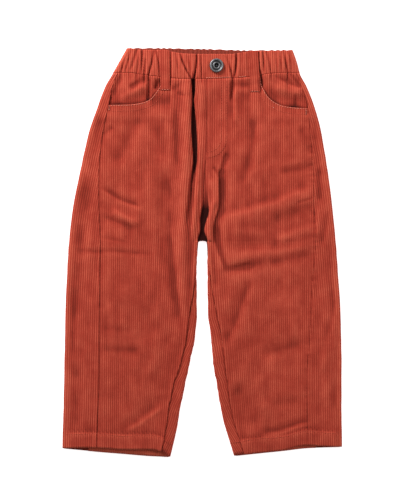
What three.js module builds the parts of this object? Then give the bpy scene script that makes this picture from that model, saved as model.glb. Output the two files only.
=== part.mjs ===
// Corduroy trousers for a child, laid flat on their back with the front uppermost.
// Sizes are millimetres: x runs across the garment, y up it towards the waist, and z up from the
// surface that it lies on. The wearer's right leg is at negative x. The origin is under the middle.
import * as THREE from 'three';

const CLOTH = 1.4;
const SEAM_GAP = 0.3;
const INSEAM_GAP = 0.46;
const HEM_CLOTH = 2.4;
const HEM_DEPTH = 17.5;
const HEM_RISE = 1.1;
const FOLD_RADIUS = 2.9;
const FOLD_LENGTH = Math.PI * FOLD_RADIUS;
const PANEL_HEIGHT = 4.7;
const EDGE_RISE = 2 * FOLD_RADIUS - PANEL_HEIGHT;
const EDGE_REACH = 7;
const LOWEST_FRONT = 3.35;
const CROTCH = 14.4;
const LEG_LENGTH = 260;
const RISE_LENGTH = 200;
const BACK_SEAM_INSET = 30;
const BACK_WAIST = 224.3;

const BAND_RADIUS = 4.1;
const BAND_WALL = 3;
const BAND_CROWN = 1;
const BAND_DIP_LIMIT = 2.1;
const BAND_TURNS = [0.36, 0.66, 0.94];
const BAND_TOP = 252;
const WAIST_RISE = 1.9;
const WAIST_REACH = 24;

const POCKET_DROP = 1.95;
const POCKET_UNDERLAP = 6;
const FACING_FOOT = 175;
const FLY_WIDTH = 24.5;
const FLY_FOOT = 119;
const FLY_RISE = 0.9;
const SEAM_RIDGE = 0.5;
const SEAM_REACH = 4;
const GATHER_STRIP = 9;
const SETTLING_ROUNDS = 24;

const LOOP_CLOTH = 1.6;
const LOOP_SLOPE = 12;
const BUTTON = { x: 17.6, y: 233.3, radius: 8.75, height: 3.1 };

const CORDUROY = { color: 0x9f3c2c, roughness: 0.9, metalness: 0 };
const GUNMETAL = { color: 0x3a3836, roughness: 0.35, metalness: 0.9 };

// A leg's own distances are measured outwards from the centre line, so that both legs use one rule.
const LEGS = {
  right: { name: 'right', side: -1 },
  left: { name: 'left', side: 1 },
};

// Where the outer fold lies, for heights up the garment.
const OUTER_FOLD = [
  { y: -262, right: 175.8, left: 175.2 },
  { y: -242, right: 175.6, left: 175 },
  { y: -197, right: 174.4, left: 174.4 },
  { y: -137, right: 173.1, left: 174.4 },
  { y: -77, right: 171.9, left: 173.1 },
  { y: -17, right: 169.4, left: 169.4 },
  { y: 43, right: 164.4, left: 164.4 },
  { y: 103, right: 153.1, left: 156.9 },
  { y: 148, right: 143.1, left: 149.4 },
  { y: 178, right: 133.1, left: 141.9 },
  { y: 208, right: 121.9, left: 130.6 },
  { y: 223, right: 113.1, left: 122.4 },
  { y: 238, right: 104.4, left: 118.1 },
  { y: 258, right: 93.4, left: 111.2 },
];

// Where the inner fold lies, from the hem up to the rounded crotch.
const INNER_FOLD = [
  { y: -262, right: 41.5, left: 41.5 },
  { y: -242, right: 36.9, left: 35.6 },
  { y: -227, right: 33.1, left: 30.6 },
  { y: -197, right: 28.1, left: 23.1 },
  { y: -167, right: 21.9, left: 18.1 },
  { y: -137, right: 15.6, left: 13.1 },
  { y: -107, right: 9.4, left: 10.6 },
  { y: -77, right: 6.9, left: 6.9 },
  { y: -17, right: 6.9, left: 5.6 },
  { y: 4, right: 5.6, left: 5.4 },
  { y: 10, right: 5.1, left: 5.1 },
  { y: 13, right: 3.4, left: 3.4 },
  { y: CROTCH, right: 0.2, left: 0.2 },
];

// The seam between front and side panel, where it shows on the front.
const SIDE_SEAM = [
  { y: -262, right: 133, left: 130.4 },
  { y: -212, right: 131.6, left: 131 },
  { y: -161, right: 129.6, left: 130.2 },
  { y: -97, right: 129.4, left: 134.9 },
  { y: -46, right: 128.9, left: 136.9 },
  { y: 15, right: 128.1, left: 141.3 },
  { y: 66, right: 130, left: 139.3 },
  { y: 101, right: 129.6, left: 138.8 },
  { y: 149, right: 124.9, left: 134.8 },
  { y: 184, right: 117.5, left: 131.5 },
  { y: 206, right: 112.8, left: 124.5 },
  { y: 230, right: 103.4, left: 114.6 },
];

// How far the inseam lies from the top of the inner fold: on the front where positive, on the fold's
// side where negative.
const INSEAM = [
  { y: -262, right: 10, left: 10.5 },
  { y: -244, right: 10.4, left: 10.8 },
  { y: -199, right: 11.6, left: 10.1 },
  { y: -166, right: 11.9, left: 10.6 },
  { y: -139, right: 8.6, left: 11.7 },
  { y: -84, right: 7.6, left: 9.3 },
  { y: -59, right: 3.3, left: 5.2 },
  { y: -38, right: 0.2, left: 2.3 },
  { y: -18, right: -3, left: -0.4 },
  { y: 0, right: -4.1, left: -3.4 },
  { y: CROTCH, right: -4.25, left: -4.25 },
];

// The front seam above the crotch, and the mock fly's folded edge above that.
const CENTRE_FRONT = [
  { y: CROTCH, x: 0 },
  { y: 45, x: 0.9 },
  { y: 75, x: 1.9 },
  { y: 112, x: 3.9 },
  { y: FLY_FOOT, x: 5.6 },
  { y: 230, x: 5.6 },
];

// Hem edges of the cloth on top and of the cloth underneath.
const HEM = [
  { out: 36, rightTop: -257, rightUnder: -257.2, leftTop: -254.6, leftUnder: -255 },
  { out: 42, rightTop: -255.3, rightUnder: -256.3, leftTop: -254, leftUnder: -254.6 },
  { out: 52, rightTop: -248.6, rightUnder: -255.6, leftTop: -252.4, leftUnder: -253.6 },
  { out: 65, rightTop: -246.3, rightUnder: -255, leftTop: -251, leftUnder: -252.2 },
  { out: 100, rightTop: -246.3, rightUnder: -252.2, leftTop: -247.2, leftUnder: -248.6 },
  { out: 132, rightTop: -244.2, rightUnder: -249.6, leftTop: -240.7, leftUnder: -245 },
  { out: 148, rightTop: -243.9, rightUnder: -248, leftTop: -241.8, leftUnder: -244.4 },
  { out: 178, rightTop: -245, rightUnder: -245.2, leftTop: -243.2, leftUnder: -243.6 },
];

// The waistband's lower seam and its front and back top edges.
const WAIST = [
  { x: -118, seam: 224.4, front: 255.8, back: 256 },
  { x: -92, seam: 224.4, front: 255.4, back: 256 },
  { x: -78, seam: 222.5, front: 253.4, back: 256 },
  { x: -53, seam: 219.3, front: 253, back: 256 },
  { x: -24, seam: 216.9, front: 248.8, back: 255.4 },
  { x: 0, seam: 216.9, front: 248, back: 255 },
  { x: 34, seam: 217.6, front: 248, back: 253.9 },
  { x: 53, seam: 218.8, front: 250.3, back: 253.2 },
  { x: 72, seam: 221.6, front: 251.9, back: 253.3 },
  { x: 97, seam: 224.3, front: 252.2, back: 253.5 },
  { x: 124, seam: 224.2, front: 253.6, back: 253.9 },
];

// The curved edges of the front panels at the pocket mouths.
const POCKET_MOUTH = {
  right: [
    { out: 47, y: 218.5 },
    { out: 50, y: 213 },
    { out: 55.3, y: 204.4 },
    { out: 59.8, y: 198.1 },
    { out: 66, y: 191.4 },
    { out: 74, y: 187.6 },
    { out: 84.4, y: 185.6 },
    { out: 96, y: 184.7 },
    { out: 120, y: 184.4 },
  ],
  left: [
    { out: 72, y: 221.6 },
    { out: 74, y: 210 },
    { out: 76.5, y: 204 },
    { out: 82.5, y: 194.4 },
    { out: 91.5, y: 187.3 },
    { out: 100.4, y: 183.6 },
    { out: 112.4, y: 181.6 },
    { out: 134, y: 180 },
  ],
};

// The deepest fold of each front panel. The panel's columns of points follow it.
const MAIN_FOLD = [
  { y: -262, right: 64, left: 66 },
  { y: -170, right: 46, left: 47 },
  { y: -100, right: 30, left: 35 },
  { y: -40, right: 22, left: 28 },
  { y: 18, right: 20, left: 18.3 },
  { y: 53, right: 18.8, left: 21.6 },
  { y: 93, right: 13.8, left: 23 },
  { y: 128, right: 10.2, left: 24 },
  { y: 230, right: 11.3, left: 24 },
];

// Main folds of the fronts. A fold runs from (x0, y0) to (x1, y1), bowed sideways by bow. Its section
// is a soft bell, with its own half width on each side, raised by rise or sunk where that is negative.
const FOLDS = [
  { x0: -11.1, y0: 235, x1: -9.4, y1: 101, bow: 0, left: 2.8, right: 3.8, rise: -7.5 },
  { x0: -9.6, y0: 116, x1: -18.1, y1: 18, bow: -2, left: 4, right: 4.4, rise: -3.8 },
  { x0: -18.1, y0: 226, x1: -20.6, y1: 106, bow: -1.2, left: 6.2, right: 5.4, rise: 4.4 },
  { x0: -21.2, y0: 116, x1: -26.2, y1: -99, bow: -2.5, left: 6.5, right: 6.2, rise: 2.6 },
  { x0: -2.5, y0: 228, x1: -2.5, y1: 113, bow: 0.8, left: 4, right: 5, rise: 2.2 },
  { x0: -3.8, y0: 128, x1: -8.8, y1: 4, bow: 0, left: 4.2, right: 4.2, rise: 3.8 },
  { x0: 4.4, y0: 110, x1: 3.1, y1: 43, bow: 0, left: 3.2, right: 3.2, rise: -3 },
  { x0: 2.8, y0: 72, x1: 0.4, y1: -6, bow: 0, left: 4.6, right: 4.6, rise: -9 },
  { x0: 9.4, y0: 108, x1: 15.1, y1: 56, bow: 1.8, left: 3.8, right: 3.8, rise: 3.4 },
  { x0: 15.1, y0: 66, x1: 8.6, y1: 10, bow: 0.8, left: 3.8, right: 3.8, rise: 3.4 },
  { x0: 25, y0: 108, x1: 20.6, y1: 51, bow: 1.8, left: 4.4, right: 5, rise: -3.4 },
  { x0: 21.1, y0: 60, x1: 18.1, y1: 8, bow: -1.2, left: 4, right: 4.4, rise: -3.2 },
  { x0: 17.6, y0: 16, x1: 29.4, y1: -22, bow: -1.2, left: 4.6, right: 5, rise: -2.4 },
  { x0: 38.9, y0: 236, x1: 37.4, y1: 188, bow: 0, left: 2.6, right: 2.6, rise: -3 },
  { x0: -47, y0: 76, x1: -48, y1: -14, bow: -5, left: 6.6, right: 6.6, rise: -1.9 },
  { x0: -48, y0: -2, x1: -31, y1: -102, bow: 0, left: 6, right: 5, rise: -1.6 },
  { x0: -78, y0: 181, x1: -113, y1: 111, bow: 3.8, left: 8, right: 8, rise: -1.3 },
  { x0: -114, y0: 56, x1: -74, y1: 22, bow: -2.5, left: 7, right: 7, rise: 1.6 },
  { x0: 23, y0: 45, x1: 141, y1: 78, bow: -2.5, left: 8, right: 8, rise: 2.6 },
  { x0: 47, y0: 100, x1: 138, y1: 115, bow: 0, left: 11, right: 11, rise: 1.5 },
  { x0: 26, y0: -13, x1: 141, y1: 8, bow: -2.5, left: 9, right: 9, rise: 2.3 },
  { x0: 62, y0: -33, x1: 38, y1: -107, bow: 3.8, left: 6.6, right: 6.6, rise: -1.6 },
];

// Gathers of the front band: each runs from its place at the top edge to its place at the lower seam.
const GATHERS = [
  { top: -82.5, foot: -90.6, half: 2.4, dip: 1.2 },
  { top: -75.2, foot: -76.8, half: 1.6, dip: 1.9 },
  { top: -64.8, foot: -68.1, half: 1.9, dip: 1.6 },
  { top: -57.5, foot: -53.1, half: 1.6, dip: 1.4 },
  { top: -40.2, foot: -40.6, half: 1.6, dip: 2 },
  { top: -31.9, foot: -30.6, half: 2, dip: 0.9 },
  { top: -24.4, foot: -16.4, half: 1.6, dip: 2.1 },
  { top: -7.4, foot: -10.6, half: 1.8, dip: 2.6 },
  { top: -1.9, foot: 0, half: 1.6, dip: 1.3 },
  { top: 42.6, foot: 38.4, half: 1.8, dip: 2.4 },
  { top: 48.8, foot: 50, half: 1.9, dip: 0.8 },
  { top: 55.9, foot: 58.8, half: 1.6, dip: 1.3 },
  { top: 68.8, foot: 74.1, half: 1.9, dip: 2.5 },
  { top: 76.2, foot: 80, half: 1.6, dip: 1.8 },
  { top: 83.8, foot: 86.9, half: 2.2, dip: 1 },
  { top: 93.1, foot: 95.6, half: 1.9, dip: 0.8 },
  { top: 101.9, foot: 107.9, half: 1.9, dip: 1.9 },
];

// How many strips the gaps between the gathers' columns are split into: one on each side of a gather's
// middle, and one for each strip's width on the way to the next gather.
const GATHER_SPLITS = GATHERS.flatMap(({ foot }, i) => {
  const next = GATHERS[i + 1] ?? { foot: foot + GATHER_STRIP };
  return [1, 1, Math.ceil((next.foot - foot) / GATHER_STRIP)];
});

// The belt loops' edges at the top and at the foot.
const BELT_LOOPS = [
  { name: 'right', topLeft: -52.8, topRight: -40.8, footLeft: -52.4, footRight: -40.4, foot: 202.7 },
  { name: 'left', topLeft: 57.6, topRight: 69.4, footLeft: 59.8, footRight: 72.4, foot: 200.6 },
];

// Half section of the button from its axis: a raised rim, a groove, an inner ring and a sunk middle.
const BUTTON_SECTION = [
  { part: 0, level: 0 },
  { part: 0.86, level: 0 },
  { part: 1, level: 0.3 },
  { part: 1, level: 0.66 },
  { part: 0.93, level: 0.95 },
  { part: 0.8, level: 1 },
  { part: 0.7, level: 0.78 },
  { part: 0.62, level: 0.56 },
  { part: 0.5, level: 0.6 },
  { part: 0.42, level: 0.82 },
  { part: 0.32, level: 0.82 },
  { part: 0.24, level: 0.5 },
  { part: 0, level: 0.4 },
];

const clamp = THREE.MathUtils.clamp;
const mix = THREE.MathUtils.lerp;
const ease = THREE.MathUtils.smoothstep;
const counted = (count) => Array.from({ length: count }, (_, i) => i);
const bell = (distance, half) => Math.exp(-((distance / half) ** 2));
const steps = (first, last, count) => counted(count + 1).map((i) => mix(first, last, i / count));

// A smooth curve through a table's rows, with no overshoot between them.
function curve(rows, key, value) {
  const at = rows.map((row) => row[key]);
  const to = rows.map((row) => row[value]);
  const slope = at.slice(1).map((next, i) => (to[i + 1] - to[i]) / (next - at[i]));
  const tangent = at.map((_, i) => {
    const before = slope[Math.max(i - 1, 0)];
    const after = slope[Math.min(i, slope.length - 1)];
    return before * after <= 0 ? 0 : (2 * before * after) / (before + after);
  });
  return (wanted) => {
    const place = clamp(wanted, at[0], at[at.length - 1]);
    const i = clamp(at.findIndex((next) => next >= place) - 1, 0, slope.length - 1);
    const width = at[i + 1] - at[i];
    const t = (place - at[i]) / width;
    const rise = to[i + 1] - to[i];
    const start = tangent[i] * width;
    const end = tangent[i + 1] * width;
    return to[i] + t * (start + t * (3 * rise - 2 * start - end + t * (start + end - 2 * rise)));
  };
}

const waistSeam = curve(WAIST, 'x', 'seam');
const frontTop = curve(WAIST, 'x', 'front');
const backTop = curve(WAIST, 'x', 'back');
const centreFront = curve(CENTRE_FRONT, 'y', 'x');

for (const leg of Object.values(LEGS)) {
  leg.outer = curve(OUTER_FOLD, 'y', leg.name);
  leg.inner = curve(INNER_FOLD, 'y', leg.name);
  leg.sideSeam = curve(SIDE_SEAM, 'y', leg.name);
  leg.inseam = curve(INSEAM, 'y', leg.name);
  leg.mainFold = curve(MAIN_FOLD, 'y', leg.name);
  leg.hemTop = curve(HEM, 'out', `${leg.name}Top`);
  leg.hemUnder = curve(HEM, 'out', `${leg.name}Under`);
  leg.mouth = curve(POCKET_MOUTH[leg.name], 'out', 'y');
  leg.mouthEnd = POCKET_MOUTH[leg.name][0].out;
}

// Height that one fold adds at (x, y): a bell across the fold, eased to nothing at its two ends.
function foldHeight(fold, x, y) {
  const alongX = fold.x1 - fold.x0;
  const alongY = fold.y1 - fold.y0;
  const length = Math.hypot(alongX, alongY);
  const along = ((x - fold.x0) * alongX + (y - fold.y0) * alongY) / length ** 2;
  const bowed = fold.bow * 4 * clamp(along, 0, 1) * (1 - clamp(along, 0, 1));
  const across = (alongX * (y - fold.y0) - alongY * (x - fold.x0)) / length - bowed;
  const ends = ease(along, -0.06, 0.2) * (1 - ease(along, 0.8, 1.06));
  return fold.rise * ends * bell(across, across < 0 ? fold.left : fold.right);
}

// The mock fly is double cloth inside a J: straight down beside the folded edge, round at the foot.
function flyHeight(x, y) {
  const drop = clamp((FLY_FOOT + FLY_WIDTH - y) / FLY_WIDTH, 0, 1);
  const width = FLY_WIDTH * Math.sqrt(1 - drop * drop);
  return FLY_RISE * (1 - ease(x - centreFront(y), width - 1.5, width + 1.5)) * (drop < 1 ? 1 : 0);
}

// Raises cloth softly where it would sink below the lowest height that clears what lies under it.
function keepAbove(height, lowest) {
  const softness = 0.6;
  return lowest + softness * Math.log1p(Math.exp((height - lowest) / softness));
}

// 1 inside the turned hem, where the cloth is doubled, and 0 above its stitching.
const doubled = (hem, y) => 1 - ease(y - hem, HEM_DEPTH - 1, HEM_DEPTH + 3);
const clothThickness = (hem, y) => mix(CLOTH, HEM_CLOTH, doubled(hem, y));

// 1 where the pocket facing lies under the front panel, easing to 0 beyond it.
function pocketPart(leg, out, y) {
  return ease(out, leg.mouthEnd - 15, leg.mouthEnd - 7) * ease(y, FACING_FOOT - 14, FACING_FOOT - 3);
}

// Height of the upper face of the cloth on top, at out from the centre line and y up the garment.
function topHeight(leg, out, y, seamRidge = 0) {
  const x = leg.side * out;
  const fromOuter = Math.max(leg.outer(y) - FOLD_RADIUS - out, 0);
  const fromInner = Math.max(out - leg.inner(y) - FOLD_RADIUS, 0);
  const below = 1 - ease(y, CROTCH - 2, CROTCH + 8);
  const edges = bell(fromOuter, EDGE_REACH) + below * bell(fromInner, EDGE_REACH);
  const inside = ease(fromOuter, 0, EDGE_REACH) * mix(1, ease(fromInner, 0, EDGE_REACH), below);
  const pocket = pocketPart(leg, out, y);
  const folds = FOLDS.reduce((sum, fold) => sum + foldHeight(fold, x, y), 0);
  const waist = WAIST_RISE * bell(Math.max(waistSeam(x) - y, 0), WAIST_REACH);
  const fly = leg.side > 0 ? flyHeight(x, y) : 0;
  const hem = HEM_RISE * doubled(leg.hemTop(out), y);
  const loft = PANEL_HEIGHT + EDGE_RISE * Math.min(edges, 1) + 0.9 * pocket;
  const height = loft + inside * (folds + waist + fly + hem) + seamRidge;
  return keepAbove(height, LOWEST_FRONT + POCKET_DROP * pocket);
}

// Direction straight out of the upper face, from its slopes.
function topNormal(leg, out, y) {
  const reach = 1.2;
  const slopeOut = (topHeight(leg, out + reach, y) - topHeight(leg, out - reach, y)) / (2 * reach);
  const slopeUp = (topHeight(leg, out, y + reach) - topHeight(leg, out, y - reach)) / (2 * reach);
  return new THREE.Vector3(-slopeOut, -slopeUp, 1).normalize();
}

const towards = (leg, vector) => new THREE.Vector3(leg.side * vector.x, vector.y, vector.z);

// A point of the cloth from its place round the leg. On top, along is the distance out from the centre
// line. Past the outer or inner fold it goes on round the fold's half circle and then underneath.
function placed(leg, along, y, seamRidge = 0) {
  const outerStart = leg.outer(y) - FOLD_RADIUS;
  const innerStart = leg.inner(y) + FOLD_RADIUS;
  const pastOuter = along - outerStart;
  const pastInner = innerStart - along;
  if (pastOuter > 0) return rounded(leg, outerStart, 1, pastOuter, y);
  if (pastInner > 0 && y < CROTCH) return rounded(leg, innerStart, -1, pastInner, y);
  const point = new THREE.Vector3(along, y, topHeight(leg, along, y, seamRidge));
  return { point: towards(leg, point), out: towards(leg, topNormal(leg, along, y)) };
}

// Round a fold: start is where it leaves the top, direction is outwards or inwards, past is the way gone.
function rounded(leg, start, direction, past, y) {
  const turn = Math.min(past / FOLD_RADIUS, Math.PI);
  const beneath = Math.max(past - FOLD_LENGTH, 0);
  const upper = topHeight(leg, start, y) - FOLD_RADIUS;
  const lift = turn < Math.PI / 2 ? upper : FOLD_RADIUS;
  const reach = FOLD_RADIUS * Math.sin(turn) - beneath;
  const point = new THREE.Vector3(start + direction * reach, y, FOLD_RADIUS + lift * Math.cos(turn));
  const out = new THREE.Vector3(direction * Math.sin(turn), 0, Math.cos(turn));
  return { point: towards(leg, point), out: towards(leg, out) };
}

// The same for the flat cloth underneath, at out from the centre line.
function under(leg, out, y) {
  return { point: new THREE.Vector3(leg.side * out, y, 0), out: new THREE.Vector3(0, 0, -1) };
}

// Closes a wall from two matching grids of points: its outer face, its inner face and the rim.
function wall(name, outer, inner, material) {
  const rows = outer.length;
  const columns = outer[0].length;
  const size = rows * columns;
  const at = (row, column) => row * columns + column;
  const index = [];
  const quad = (a, b, c, d) => index.push(a, b, c, a, c, d);
  for (let row = 0; row < rows - 1; row += 1) {
    for (let column = 0; column < columns - 1; column += 1) {
      const [a, b] = [at(row, column), at(row, column + 1)];
      const [c, d] = [at(row + 1, column + 1), at(row + 1, column)];
      quad(a, b, c, d);
      quad(size + d, size + c, size + b, size + a);
    }
  }
  const border = [
    ...counted(columns - 1).map((i) => at(0, i)),
    ...counted(rows - 1).map((i) => at(i, columns - 1)),
    ...counted(columns - 1).map((i) => at(rows - 1, columns - 1 - i)),
    ...counted(rows - 1).map((i) => at(rows - 1 - i, 0)),
  ];
  border.forEach((from, i) => {
    const to = border[(i + 1) % border.length];
    quad(from, size + from, size + to, to);
  });
  const points = [...outer.flat(), ...inner.flat()];
  return solid(name, points, index, material);
}

// A named mesh from points and triangles, turned so that its faces point out.
function solid(name, points, index, material) {
  let volume = 0;
  for (let i = 0; i < index.length; i += 3) {
    const [a, b, c] = [points[index[i]], points[index[i + 1]], points[index[i + 2]]];
    volume += a.dot(new THREE.Vector3().crossVectors(b, c));
  }
  if (volume < 0) index.reverse();
  const geometry = new THREE.BufferGeometry();
  geometry.setAttribute('position', new THREE.Float32BufferAttribute(points.flatMap((p) => p.toArray()), 3));
  geometry.setIndex(index);
  geometry.computeVertexNormals();
  const mesh = new THREE.Mesh(geometry, new THREE.MeshStandardMaterial(material));
  mesh.name = name;
  return mesh;
}

// A wall of cloth whose outer face is a grid of placed points, each with its own thickness.
function clothWall(name, grid) {
  const outer = grid.map((row) => row.map(({ place }) => place.point));
  const behind = ({ place, thick }) => place.point.clone().addScaledVector(place.out, -thick);
  const inner = grid.map((row) => row.map(behind));
  return wall(name, outer, inner, CORDUROY);
}

// Rows of points between the hem and the top edge, given as parts of the way from the crotch's level.
const HEM_ROWS = [1, 0.965, 0.93, 0.9];
const CROTCH_ROWS = [0.16, 0.13, 0.1, 0.075, 0.04, 0.015, 0.005, 0];
const ROWS_BELOW = [...HEM_ROWS, ...steps(0.83, 0.2, 8), ...CROTCH_ROWS];
const ROWS_ABOVE = [0.03, 0.08, ...steps(0.15, 0.9, 10), 0.955, 1];
const ROWS = [
  ...ROWS_BELOW.map((part) => ({ part, above: false })),
  ...ROWS_ABOVE.map((part) => ({ part, above: true })),
];

// Settles y and the place along the row together, because each edge is given by the other.
function settled(alongAt, hemAt, topAt, row) {
  let y = CROTCH + row.part * (row.above ? RISE_LENGTH : -LEG_LENGTH);
  let along = alongAt(y);
  for (let round = 0; round < SETTLING_ROUNDS; round += 1) {
    const goal = row.above ? topAt(along) : hemAt(along);
    y = mix(CROTCH, goal, row.part);
    along = alongAt(y);
  }
  return { along, y };
}

// Columns of a front panel, as parts of the way from its inner edge to its main fold and from there to
// the side seam.
const COLUMNS_INSIDE = [0, 0.14, 0.28, 0.5, 0.8, 1];
const COLUMNS_OUTSIDE = [0.03, 0.068, 0.12, 0.2, 0.31, 0.42, 0.53, 0.64, 0.75, 0.85, 0.93, 1];

// Where a front panel ends inwards: at the front seam above the crotch, at the inseam below it.
function innerEdge(leg, y) {
  if (y >= CROTCH) return leg.side * centreFront(y) + SEAM_GAP / 2;
  return leg.inner(y) + FOLD_RADIUS + leg.inseam(y) + INSEAM_GAP / 2;
}

// The front panel: from the centre seam or the inseam out to the side seam, and from the hem up to the
// waistband seam and the pocket mouth.
function frontPanel(leg) {
  const columns = [
    ...COLUMNS_INSIDE.map((part) => (y) => mix(innerEdge(leg, y), leg.mainFold(y), part)),
    ...COLUMNS_OUTSIDE.map((part) => (y) => mix(leg.mainFold(y), leg.sideSeam(y) - SEAM_GAP / 2, part)),
  ];
  const topAt = (out) => {
    const seam = waistSeam(leg.side * out);
    const edge = out > leg.mouthEnd ? Math.min(seam, leg.mouth(out)) : seam;
    return edge - SEAM_GAP / 2;
  };
  const grid = ROWS.map((row) => columns.map((alongAt) => {
    const { along, y } = settled(alongAt, leg.hemTop, topAt, row);
    const ridge = SEAM_RIDGE * bell(leg.sideSeam(y) - along, SEAM_REACH);
    return { place: placed(leg, along, y, -ridge), thick: clothThickness(leg.hemTop(along), y) };
  }));
  return clothWall(`${leg.name}_front`, grid);
}

// The hem's edge round the leg: the upper one on top, the lower one underneath, blended on the fold.
function hemRound(leg, out, turned) {
  return mix(leg.hemTop(out), leg.hemUnder(out), clamp(turned, 0, 1));
}

// The side panel: from the side seam on top, round the outer fold, to the side seam underneath.
function sidePanel(leg) {
  const onTop = [0, 0.5, 1].map((part) => ({
    at: (y) => mix(leg.sideSeam(y) + SEAM_GAP / 2, leg.outer(y) - FOLD_RADIUS, part),
    turned: 0,
  }));
  const onFold = [0.25, 0.5, 0.75, 1].map((part) => ({
    at: (y) => leg.outer(y) - FOLD_RADIUS + part * FOLD_LENGTH,
    turned: part,
  }));
  const beneath = [0.5, 1].map((part) => ({
    at: (y) => leg.outer(y) - FOLD_RADIUS + FOLD_LENGTH + part * (BACK_SEAM_INSET - SEAM_GAP / 2),
    turned: 1,
  }));
  const grid = ROWS.map((row) => [...onTop, ...onFold, ...beneath].map(({ at, turned }) => {
    const outOf = (along, y) => Math.abs(placed(leg, along, y).point.x);
    const hemAt = (along) => hemRound(leg, outOf(along, leg.hemTop(leg.outer(-LEG_LENGTH))), turned);
    const topAt = () => BACK_WAIST - SEAM_GAP / 2;
    const { along, y } = settled(at, hemAt, topAt, row);
    const ridge = SEAM_RIDGE * bell(along - leg.sideSeam(y), SEAM_REACH);
    return { place: placed(leg, along, y, ridge), thick: clothThickness(hemAt(along), y) };
  }));
  return clothWall(`${leg.name}_side`, grid);
}

// The back panel: from the seam underneath, flat below the leg, round the inner fold to the inseam.
// Above the crotch the two back panels meet at the centre line.
function backPanel(leg) {
  const flat = [0, 0.25, 0.5, 0.75, 1];
  const round = [0.16, 0.32, 0.48, 0.64, 0.82, 1];
  const grid = ROWS.map((row) => {
    const flatAt = (part) => (y) => {
      const sideEnd = leg.outer(y) - FOLD_RADIUS - BACK_SEAM_INSET - SEAM_GAP / 2;
      return mix(sideEnd, leg.inner(Math.min(y, CROTCH)) + FOLD_RADIUS, part);
    };
    const seamAt = () => BACK_WAIST - SEAM_GAP / 2;
    const onFlat = flat.map((part) => {
      const { along, y } = settled(flatAt(part), leg.hemUnder, seamAt, row);
      return { place: under(leg, along, y), thick: clothThickness(leg.hemUnder(along), y) };
    });
    const onRound = round.map((part) => {
      if (row.above || row.part === 0) {
        const outAt = () => mix(leg.inner(CROTCH) + FOLD_RADIUS, SEAM_GAP / 2, part);
        const { along, y } = settled(outAt, leg.hemUnder, seamAt, row);
        return { place: under(leg, along, y), thick: CLOTH };
      }
      const alongAt = (y) => {
        const start = leg.inner(y) + FOLD_RADIUS;
        return mix(start - FOLD_LENGTH, start + leg.inseam(y) - INSEAM_GAP / 2, part);
      };
      const hemLevel = leg.hemTop(leg.inner(-LEG_LENGTH));
      const turned = (along) => (leg.inner(hemLevel) + FOLD_RADIUS - along) / FOLD_LENGTH;
      const outOf = (along) => Math.abs(placed(leg, along, hemLevel).point.x);
      const hemAt = (along) => hemRound(leg, outOf(along), turned(along));
      const { along, y } = settled(alongAt, hemAt, seamAt, row);
      return { place: placed(leg, along, y), thick: clothThickness(hemAt(along), y) };
    });
    return [...onFlat, ...onRound];
  });
  return clothWall(`${leg.name}_back`, grid);
}

// The pocket facing lies a little lower than the front panel and runs on under its edge.
function pocketFacing(leg) {
  const grid = steps(0, 1, 6).map((up) => steps(0, 1, 8).map((part) => {
    let y = mix(FACING_FOOT, BACK_WAIST, up);
    let out = 0;
    for (let round = 0; round < SETTLING_ROUNDS; round += 1) {
      out = mix(leg.mouthEnd - POCKET_UNDERLAP, leg.sideSeam(y) - SEAM_GAP / 2, part);
      y = mix(FACING_FOOT, waistSeam(leg.side * out) - SEAM_GAP / 2, up);
    }
    const place = placed(leg, out, y);
    place.point.z -= POCKET_DROP;
    return { place, thick: CLOTH };
  }));
  return clothWall(`${leg.name}_pocket_facing`, grid);
}

// The band bulges between its two edges: part is the way up from the lower seam to the top edge.
function bandHeight(part) {
  return 2 * BAND_RADIUS - BAND_CROWN * (1 - Math.sin(Math.PI * mix(0.12, 0.88, part)));
}

// Depth of the gathers at a place in the band: that of the nearest one, held above the band's inside.
function gatherDip(x, part) {
  const dips = GATHERS.map(({ top, foot, half, dip }) => dip * bell(x - mix(foot, top, part), half));
  return Math.min(Math.max(...dips), BAND_DIP_LIMIT);
}

// Columns of the front band: three at each gather, more where two gathers lie far apart, and none
// nearer its ends than where they turn down. The gaps are split alike in each row.
function gatherColumns(part, starts) {
  const beside = ({ top, foot, half }) => [-half, 0, half].map((aside) => mix(foot, top, part) + aside);
  const lines = GATHERS.flatMap(beside);
  const inside = lines.map((x) => clamp(x, starts[0] + 1, starts[1] - 1));
  const places = [starts[0], ...inside, starts[1]];
  const splits = [2, ...GATHER_SPLITS, 1];
  const strips = places.slice(1).map((next, i) => steps(places[i], next, splits[i]).slice(0, -1));
  return [...strips.flat(), starts[1]];
}

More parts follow.
